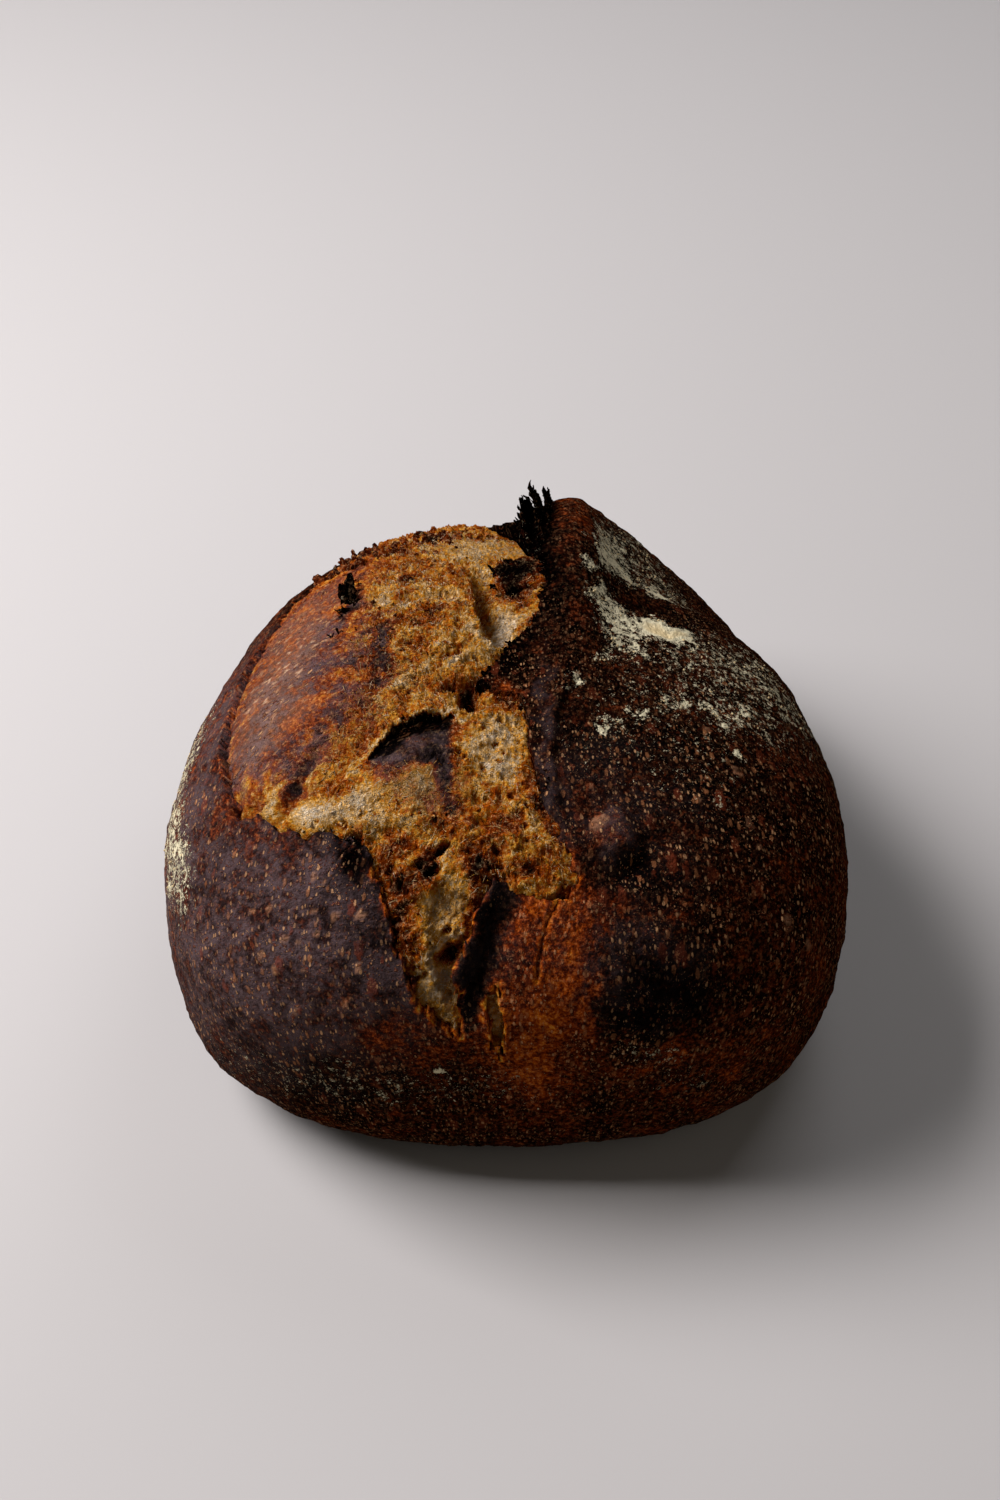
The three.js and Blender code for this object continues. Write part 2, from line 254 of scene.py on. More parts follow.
# The outline within which the crust is torn away, anticlockwise from the front tip.
# Columns: east, north, drop of the crumb, lift of the lip, overhang, char, papery pale edge, softness
tear = [
    (-16.5, -159.2, 2, 0.4, 0.3, 0, 1, 0), (-15.5, -148.1, 6, 1.2, 1.2, 0, 1, 0),
    (-16.4, -136.4, 7, 1.6, 2, 0.1, 1, 0), (-14.5, -130.7, 7, 1.6, 2, 0.2, 1, 0),
    (-7.9, -119.4, 6, 1.4, 1, 0.3, 0.8, 0), (-4.2, -112, 3, 0.5, 0.3, 0.2, 0.3, 0),
    (3.3, -113.9, 1, 0, 0, 0, 0, 0.35), (10.9, -116.8, 1, 0, 0, 0, 0, 0.3),
    (17.4, -116.3, 2, 0.4, 0.3, 0, 0.8, 0), (23, -109.4, 1, 0.2, 0.2, 0, 0.6, 0.2),
    (20.2, -101.1, 0.6, 0, 0, 0, 0, 0.4), (16.4, -92.9, 1, 0, 0, 0, 0, 0.3),
    (12.7, -84.6, 2.0, 0.2, 0.2, 0.3, 0, 0.1), (11.7, -77.3, 2.6, 0.3, 0.3, 0.2, 0.1, 0.1),
    (9.9, -68.2, 3, 0.3, 0.2, 0.1, 0.2, 0.1), (8, -57.2, 3, 0.3, 0.2, 0.1, 0.2, 0.1),
    (8, -47.9, 3, 0.3, 0.2, 0.1, 0.1, 0.1), (6.2, -41.5, 2, 0.2, 0.1, 0, 0, 0.1),
    (1.5, -38.4, 0.8, 0.1, 0, 0, 0, 0.15), (-6, -37.6, 1, 0.2, 0.1, 0, 0, 0.1),
    (-12.5, -33.5, 4, 0.4, 0.3, 1, 0, 0), (-7, -25.2, 5, 0.5, 0.4, 1, 0, 0),
    (-2.4, -20.2, 5, 0.5, 0.5, 1, 0, 0), (0.9, -15.3, 5, 0.6, 0.5, 1, 0, 0),
    (3.5, -9.5, 4, 0.6, 0.5, 1, 0, 0), (8.2, -4.6, 4, 0.6, 0.5, 0.9, 0, 0),
    (12, 0.2, 3.5, 0.6, 0.5, 0.7, 0, 0), (14.5, 7.9, 3, 0.6, 0.5, 0.7, 0, 0),
    (16.5, 16.5, 3.5, 0.8, 0.6, 0.9, 0, 0), (17.8, 25, 4, 1.1, 0.8, 1, 0, 0),
    (17.6, 34, 4.5, 1.4, 1, 1, 0, 0), (15.5, 42, 5, 1.8, 1.2, 1, 0, 0), (12, 50, 6, 2.2, 1.4, 1, 0, 0),
    (9, 57, 7, 2.6, 1.8, 1, 0, 0), (7.5, 64, 8, 2.8, 2, 1, 0, 0), (7, 75, 8, 2.6, 2, 1, 0, 0),
    (7, 86.6, 8, 2, 1.5, 1, 0, 0), (2, 102.4, 6, 1.4, 1, 0.8, 0, 0), (-5.5, 120.9, 3, 0.8, 0.6, 0.5, 0, 0.2),
    (-21.5, 144, 1, 0, 0, 0, 0, 1), (-49, 137.6, 0.4, 0, 0, 0, 0, 1), (-78.3, 114.7, 0.4, 0, 0, 0, 0, 1),
    (-100.8, 89, 0.4, 0, 0, 0, 0, 1), (-114.4, 64.2, 0.4, 0, 0, 0, 0, 1), (-120, 34.6, 1, 0.2, 0, 0, 0, 0.6),
    (-122, 21.7, 2.5, 0.6, 0.5, 0.1, 0.3, 0), (-122.8, 8.5, 2.5, 0.7, 0.6, 0.2, 0.3, 0),
    (-120.2, -1.5, 2.5, 0.7, 0.6, 0.1, 0.4, 0), (-118.2, -11.6, 2.5, 0.7, 0.6, 0, 0.5, 0),
    (-116.2, -23.7, 2.5, 0.6, 0.5, 0.2, 0.4, 0), (-112.5, -36.6, 3, 0.6, 0.5, 0.2, 0.4, 0),
    (-109, -47.9, 3.5, 0.6, 0.6, 0, 0.3, 0), (-105, -56.6, 4, 0.6, 0.6, 0, 0.3, 0),
    (-101, -65.3, 4, 0.6, 0.6, 0, 0.2, 0), (-96.6, -72.2, 4, 0.5, 0.4, 0, 0.1, 0),
    (-92.2, -76.9, 4, 0.4, 0.3, 0, 0, 0), (-86.8, -78.1, 3, 0.3, 0.3, 0, 0, 0),
    (-81.4, -82.4, 3, 0.3, 0.3, 0, 0, 0), (-75.1, -84.8, 3, 0.4, 0.4, 0, 0, 0),
    (-68.8, -88.3, 3, 0.4, 0.4, 0, 0, 0), (-62.4, -89.9, 3, 0.4, 0.4, 0, 0, 0),
    (-56.1, -92, 4, 0.5, 0.6, 0.5, 0, 0), (-50.6, -94.2, 5, 0.6, 0.8, 1, 0, 0),
    (-46.9, -98.6, 3.4, 0.7, 0.8, 0.7, 0.3, 0), (-44.2, -103.1, 2.6, 0.7, 0.7, 0.1, 0.8, 0),
    (-41.5, -110.3, 2.4, 0.7, 0.6, 0, 1, 0), (-39.7, -117.6, 2.4, 0.7, 0.5, 0, 1, 0),
    (-37, -125, 2.4, 0.7, 0.5, 0, 1, 0), (-34.2, -132.5, 2.4, 0.6, 0.5, 0, 1, 0),
    (-31.5, -140.2, 2.4, 0.6, 0.4, 0, 1, 0), (-28.7, -148, 2, 0.5, 0.4, 0, 1, 0),
    (-23.1, -155, 3, 0.4, 0.3, 0, 1, 0),
]
# A small tear in front of it, with the same columns
smallTear = [
    (-3.2, -143.3, 3, 0.5, 0.2, 0, 1, 0), (-8, -151.2, 3, 0.5, 0.3, 0, 1, 0),
    (-6.1, -160.3, 3, 0.5, 0.3, 0, 1, 0), (-1.9, -171.6, 3, 0.4, 0.2, 0, 1, 0),
    (-0.8, -160.4, 3, 0.8, 0.8, 0.2, 1, 0), (-1.4, -151.3, 3, 0.8, 0.8, 0, 1, 0),
]
tears = [tear, smallTear]
sunk = 17.0  # how deep the crust's sheet goes out of sight within a tear
# Fine cracks of the crust, from the tear outward
cracks = [
    [(17.4, -115.9), (14.6, -119.6), (12.3, -124.3), (10, -132.8), (9.6, -139.5)],
    [(-50.6, -94.6), (-54.3, -97.8), (-58, -101.9)],
]


# The crust's lip round the tears: signed distance (within is positive), the way in, and the lip's values.
def lipOf(east, north, ragged=True):
    e, n = raggedPlaces(east, north) if ragged else (east, north)
    result = None
    for outline in tears:
        at = nearest(outline, e, n, closed=True)
        within = inside(outline, e, n)
        signed = np.where(within, at["distance"], -at["distance"])
        scale = np.where(within, 1, -1) / np.maximum(at["distance"], 1e-6)
        row = {"signed": signed, "inEast": (e - at["east"]) * scale, "inNorth": (n - at["north"]) * scale}
        row["values"], row["along"] = at["values"], at["along"]
        if result is None:
            result = row
        else:
            nearer = row["signed"] > result["signed"]
            for key in result:
                pick = nearer[..., None] if result[key].ndim > nearer.ndim else nearer
                result[key] = np.where(pick, row[key], result[key])
    return result


# Places drawn in to the tears' outlines and the cracks, so that the grid is finest there.
def drawnIn(east, north, share=0.74, reach=4.5):
    for outline in tears:
        at = nearest(outline, east, north, closed=True)
        pull = share * bell(at["distance"], reach) * (1 - np.clip(at["values"][..., 5] * 2, 0, 1))
        east, north = east + (at["east"] - east) * pull, north + (at["north"] - north) * pull
    for line in cracks:
        at = nearest(line, east, north)
        pull = 0.7 * bell(at["distance"], 2.2)
        east, north = east + (at["east"] - east) * pull, north + (at["north"] - north) * pull
    return east, north


crust = {
    "domeCells": 284, "domeReach": 226, "middleDensity": 0.72,
    "skirtRings": (229, 233, 239, 247, 257, 270, 286, 310), "underReach": 150.9,
    # slow waves of the surface and of the bake: size, strength, seed, octaves
    "waves": [(34, 0.8, 11, 3), (7, 0.3, 15, 4)],
    "bakeWaves": [(16, 0.05, 55, 4), (2.4, 0.03, 56, 1)],
    # small blisters all over: size of a cell, rise, least number that rises, start and end of the dome, seed
    "domes": [
        (8.5, 0.6, 0.45, 0.46, 0.1, 21), (3.6, 0.34, 0.4, 0.45, 0.12, 24), (2.0, 0.26, 0.3, 0.45, 0.12, 27),
    ],
    # a dent in front of the big blister, a long dent by the flour, and the fill of the ear's right slope:
    # east, north, half length, half width, turn, rise, power of the edge
    "dents": [(42.5, -103, 2, 7, 135, -1.8, 2), (68, 28, 20, 7, 8, -1.6, 3), (60, 100, 20, 30, 0, 5.4, 2)],
    # the ring groove at the front right (east, north, reach), the fold right of the middle, and the valley
    # beside the front cut
    "ring": (46, -146, 16),
    "fold": [(27, -28), (22.5, -38), (18.5, -50), (16, -68.2), (17.3, -91), (23, -101)],
    "valley": [(0.5, -115.8), (-3.2, -127), (-8.9, -138.4), (-12.7, -152.1)],
    "bake": 0.78,
    # how strongly baked: east, north, half length, half width, turn, value, share
    "bakes": [
        (-0.2, -198.2, 260, 42, 0, 0.73, 0.65), (125.4, -69, 110, 40, 90, 0.74, 0.75),
        (-136.6, -31.8, 130, 26, 90, 0.64, 0.8), (-83.8, -118.5, 62, 44, 0, 0.79, 0.9),
        (-47, -112, 34, 13, 110, 0.93, 0.8), (-101, -68, 46, 12, 130, 0.72, 0.8),
        (24.8, 50.8, 60, 14, 90, 0.62, 0.9), (12.8, -14.1, 45, 8, 70, 0.84, 0.6),
        (16, -60, 34, 8, 92, 0.83, 0.5), (65.1, 20.6, 60, 45, 0, 0.84, 0.6),
        (55.3, -63.1, 60, 40, 0, 0.845, 0.8), (112, -128, 60, 34, 60, 0.69, 0.75),
        (10.9, -146.5, 46, 20, 90, 0.46, 0.95), (36, -120, 26, 10, 20, 0.64, 0.7),
        (59.9, -168, 46, 14, 0, 0.68, 0.7), (-33.5, -158, 34, 14, 10, 0.64, 0.8),
        (-78, -170, 30, 16, -15, 0.9, 0.7), (47, -139, 21, 17, 0, 0.97, 0.95),
        (25.9, -112, 14, 7, 40, 0.62, 0.7), (-50.5, -98.5, 9, 5, 115, 1.05, 0.98),
        (-4, -125.1, 16, 6.5, 68, 1.0, 0.97), (-10.5, -142.2, 15, 4.5, 70, 0.98, 0.9),
        # the rows at (33, -99), (34, -95.5) and (41.5, -102) make the big blister light on its upper side and
        # dark round its lower right: painted light and painted shade
        (5, -133, 14, 6, 68, 0.8, 0.6), (33, -99, 9, 7, 30, 0.96, 0.8), (34, -95.5, 8, 7.5, 30, 0.66, 0.9),
        (41.5, -102, 2.4, 8, 135, 1.0, 0.9), (40, -108, 18, 5, 5, 0.94, 0.7), (70, 28, 26, 9, 8, 0.88, 0.9),
        (60, -163, 22, 3, 20, 0.56, 0.6), (-4.2, -164.5, 10, 6, 90, 0.56, 0.7),
        (13, 66, 34, 7, 93, 0.97, 0.9), (21, 20, 24, 4, 95, 0.96, 0.8), (5, -18, 16, 5, 55, 0.96, 0.8),
        (0, -35.5, 9, 3, -5, 0.6, 0.95), (52, -158, 15, 3, -10, 0.62, 0.6), (9, -136, 16, 18, 0, 0.58, 0.7),
    ],
    # flour lying on the crust
    "flours": [
        (95, -5, 60, 36, 0, 0.36, 0.9), (80, -34, 45, 16, 0, 0.3, 0.9), (52, -62, 46, 26, 0, 0.12, 0.9),
        (66, 90, 34, 34, 0, 0.42, 0.8), (75, 60, 34, 24, 0, 0.4, 0.9), (122, 8, 30, 26, -20, 0.46, 0.8),
        (47, 56, 24, 9, 80, 0.72, 0.9), (34, 32, 6, 4, 60, 0.9, 0.9), (46, 17, 14, 11, 20, 0.76, 0.95),
        (50, -3, 13, 8, -50, 0.6, 0.9), (40, -17, 9, 3, 50, 0.6, 0.8), (64, 30, 14, 8, 0, -0.4, 0.97),
        (48, 48, 17, 6, 0, 0.84, 0.9), (94, 38, 12, 8, 0, -0.3, 0.8), (70, 10.5, 13, 6.5, 8, 1.5, 0.99),
        (54, 8, 8, 7, 0, 0.9, 0.9), (69, 24, 4, 1.6, 10, 1.0, 0.95), (74, 48, 5, 5, 60, 1.1, 0.9),
        (67, -36, 5, 3, 0, 0.66, 0.85), (82, -35, 4, 7, 20, 0.66, 0.85), (94, -32, 8, 4, 60, 0.64, 0.85),
        (85, -55, 2.2, 3.2, 0, 1.1, 0.9), (73, -76.5, 3, 4, -40, 0.74, 0.9), (38, -52, 5, 6, 0, 0.6, 0.85),
        (27, -34, 5, 6, 0, 0.62, 0.85), (52, -47, 7, 4, 0, 0.56, 0.85), (-142, -31.1, 64, 16, 95, 0.58, 0.9),
        (-129, -76, 34, 12, 120, 0.66, 0.85), (-105, -163, 60, 16, -20, 0.16, 0.85),
        (-65, -172, 34, 13, -15, 0.2, 0.9), (-14, -183.1, 44, 12, 0, 0.24, 0.85),
        (-26, -176, 2, 2.8, 0, 0.8, 0.9), (50, -160, 16, 5, 10, 0.42, 0.8), (70, -170, 40, 8, 0, 0.2, 0.8),
    ],
    # tan specks
    "specks": [
        (-83.9, -123.2, 70, 50, 0, 1.1, 0.95), (55.4, -90.5, 80, 60, 0, 0.8, 0.9),
        (18.5, -146.6, 50, 26, 0, 0.9, 0.9), (24.6, 41.4, 70, 16, 90, 0.14, 0.9),
        (115, -84.1, 60, 36, 90, 1.0, 0.9), (-104, -70, 50, 16, 130, 1.1, 0.8),
        (47, -139, 18, 15, 0, 0.25, 0.8), (-7, -130, 28, 8, 68, 0.0, 0.98), (13, 60, 40, 9, 93, 0.05, 0.9),
    ],
    # blisters that show one by one: east, north, half length, half width, turn, rise, how tan
    "blisters": [
        (37, -27.5, 3, 3, 0, 0.9, 0.46), (76, -47, 3.2, 2.2, 10, 0.6, 0.59), (83, -62, 3.4, 3, 0, 0.6, 0.59),
        (66, -77, 2.2, 3, 0, 0.6, 0.53), (83, -81, 2.6, 3.6, 0, 0.6, 0.53), (85, -88, 2.2, 2.2, 0, 0.5, 0.46),
        (54.5, -99, 6.4, 5, 0, 1.2, 0.36), (30, -80, 1.5, 3.2, 0, 0.7, 0.59), (35, -96.5, 8, 7, 35, 5, 0.1),
        # the row at (30.5, -93) lays tan on the big blister's upper-left: painted light on its lit side
        (30.5, -93, 3.4, 6, 135, 0.2, 0.68), (38.5, -88.5, 4, 3.4, 0, 1.6, 0.2),
        (94, -109, 3, 5, 0, 0.7, 0.53), (106, -113, 4, 2.6, 0, 0.7, 0.59),
        (110, -126, 4.5, 2.4, -40, 0.7, 0.53), (54, -115, 2, 1.3, 0, 0.4, 0.59),
        (70.5, -119, 1.6, 4, -8, 0.4, 0.59), (47, -120, 1.8, 1.6, 0, 0.4, 0.46),
        (38, -72, 1.4, 1.4, 0, 0.4, 0.59), (27, -117, 3.4, 2.4, 0, 0.5, 0.46),
        (-62, -103, 2, 2, 0, 0.5, 0.65), (-77.5, -109, 2, 2, 0, 0.5, 0.65),
        (-84, -108, 1.4, 1.4, 0, 0.4, 0.65), (-72, -119, 2.6, 2.2, 0, 0.6, 0.72),
        (-81, -122, 2.2, 2, 0, 0.6, 0.65), (-76.5, -127.5, 2.4, 1.8, 0, 0.6, 0.72),
        (-62, -113, 2, 1.6, 0, 0.5, 0.65), (-55, -116, 2.6, 1.8, 30, 0.6, 0.72),
        (-47, -117, 2.4, 2, 0, 0.6, 0.79), (-48, -132.5, 1.8, 2.8, -20, 0.6, 0.79),
        (-57, -135, 1.6, 1.4, 0, 0.5, 0.65), (-54, -142.5, 2, 1.6, 0, 0.5, 0.72),
        (-72.5, -142, 1.8, 3.6, -50, 0.5, 0.58), (-67, -121, 1.8, 1.6, 0, 0.5, 0.65),
        (-92, -140.5, 2.6, 2, 0, 0.5, 0.43), (-59, -105.5, 1.6, 1.6, 0, 0.4, 0.65),
        (-66, -130, 1.8, 1.6, 0, 0.4, 0.58), (-61, -120, 1.4, 1.4, 0, 0.4, 0.65),
        (56, -152, 2.4, 1.4, 20, 0.4, 0.53), (84, -140, 2, 3, 20, 0.5, 0.46),
        (72, -150, 2, 1.4, 0, 0.4, 0.53),
    ],
    # purple-brown tone of the skin, partly its own colour and partly painted sheen on the left lobes, rim,
    # fold and blister
    "plumAndSheenPatches": [
        (34, -84, 30, 24, 0, 0.13, 0.9), (-79.2, -116.5, 64, 42, 0, 1.0, 0.95),
        (15.5, -66, 42, 3, 90, 0.45, 0.85), (40, -134, 22, 16, 0, 0.3, 0.8),
        (-132, -48.8, 90, 34, 95, 0.9, 0.9), (38.5, -88.5, 5, 4, 0, 0.4, 0.9),
        (36, -97, 5, 5, 30, 0.45, 0.9), (-42, -116, 26, 6, 110, 0.9, 0.9), (-51, -98, 9, 6, 110, 0.0, 0.95),
    ],
}


# The crust's relief: broad swellings, slow waves, domes of small blisters from random cells, folds, dents and
# grooves along lines, and near a tear a lip that lifts and then dives steeply out of sight.
def crustSkin(east, north):
    lip = lipOf(east, north)
    _, lift, over, char, paper, soft = (lip["values"][..., k] for k in range(6))
    s = lip["signed"]
    height = broadRelief(east, north) + waves(crust["waves"], east, north)
    for size, rise, least, start, end, seed in crust["domes"]:
        first, _, own = cells(east / size, north / size, seed)
        height += rise * np.maximum(own - least, 0) * smooth(start, end, first)
    tan = np.zeros_like(east)
    for row in crust["blisters"]:
        share = patch(row, east, north, 3)
        height += row[5] * share
        tan = np.maximum(tan, row[6] * smooth(0.5, 0.85, share))
    for row in crust["dents"]:
        height += row[5] * patch(row, east, north, row[6])
    re, rn = raggedPlaces(east, north, 0.5, 0.3)
    ringEast, ringNorth, ringReach = crust["ring"]
    ring = np.abs(np.hypot(east - ringEast, (north - ringNorth) * 1.15) - ringReach)
    height -= 0.9 * bell(ring, 1.6) * smooth(-148, -158, north)
    fold = nearest(crust["fold"], re, rn)
    creased = smooth(-26, -34, north) * smooth(-104, -92, north)
    height += creased * 1.5 * bell(fold["distance"], 1.7)
    height -= creased * bell(fold["distance"] - 3.0, 1.5) * (fold["left"] > 0)
    height -= 3.4 * bell(nearest(crust["valley"], east, north)["distance"], 4.6)
    crackShare = np.zeros_like(east)
    for line in cracks:
        at = nearest(line, re, rn)
        height -= 0.9 * bell(at["distance"], 0.5)
        height += 0.5 * bell(at["distance"] - 1.1, 0.6)
        crackShare = np.maximum(crackShare, 0.7 * bell(at["distance"] - 0.9, 0.45))
    wrinkle = smooth(-26, -4, s) * smooth(0, -3, s) * (1 - soft)
    height += wrinkle * 0.35 * clouds(lip["along"] / 9, s / 2.6, 31, 2)
    height += lift * np.exp(-np.abs(s) / 5.0) * (1 + 0.6 * noise(lip["along"] / 5, s / 6, 33))
    width = 0.9 + 18 * soft
    height -= sunk * smooth(0, width, s)
    over = over * (1 + 0.7 * noise(lip["along"] / 3.2, lip["along"] * 0, 35))
    shift = np.where(s < 0, over * np.exp(np.minimum(s, 0) / 4.0), over - (over + 1.6) * smooth(0, 1.2, s))
    shift = shift * (1 - np.clip(soft * 3, 0, 1))
    point = raised(east, north, height, lip["inEast"] * shift, lip["inNorth"] * shift)

    bake = painted(crust["bake"], crust["bakes"], east, north, 51)
    bake += waves(crust["bakeWaves"], east, north)
    rim = np.exp(np.minimum(s, 0) / 2.2)
    ragged = smooth(-0.5, 0.6, noise(lip["along"] / 4, s / 4, 57) + 0.4)
    bake += (1.02 - bake) * np.clip(char * rim * 1.7 * ragged, 0, 1)
    edge = bell(s + 0.35, 0.8) * paper
    papery = edge * 0.95 * smooth(-0.6, 0.3, noise(lip["along"] / 2.3, s / 3, 58))
    bake += (0.2 - bake) * np.clip(papery, 0, 1)
    bake += (0.34 - bake) * crackShare * 0.8
    bake += (0.5 - bake) * smooth(0.25, 0.9, s) * (1 - char) * (1 - np.clip(soft * 3, 0, 1))
    flour = painted(-0.4, crust["flours"], east, north, 61, 4)
    flour += (-2 - flour) * smooth(-2.5, 0.5, s + 3 * soft)
    # painted shade: the crust darkened towards the base
    under = smooth(26, 4, point[..., 2])
    bake += (0.86 - bake) * under * 0.7
    flour += (0.2 - flour) * smooth(12, 3, point[..., 2])
    specks = painted(0.6, crust["specks"], east, north, 63) * smooth(1, -1.5, s)
    specks += tan * (0.85 + 0.5 * noise(east / 1.3, north / 1.3, 67)) * 2.4
    bake += (0.6 - bake) * np.clip(tan * 1.3 - 0.2, 0, 1) * 0.6
    # the purple-brown tone, partly its own colour and partly painted sheen, kept off the papery edges
    plumAndSheen = painted(0.0, crust["plumAndSheenPatches"], east, north, 65, 5) * (1 - 0.9 * np.clip(edge, 0, 1))
    return point, {"bake": bake, "torn": 0 * east, "flour": flour, "speck": specks, "plumAndSheen": plumAndSheen}


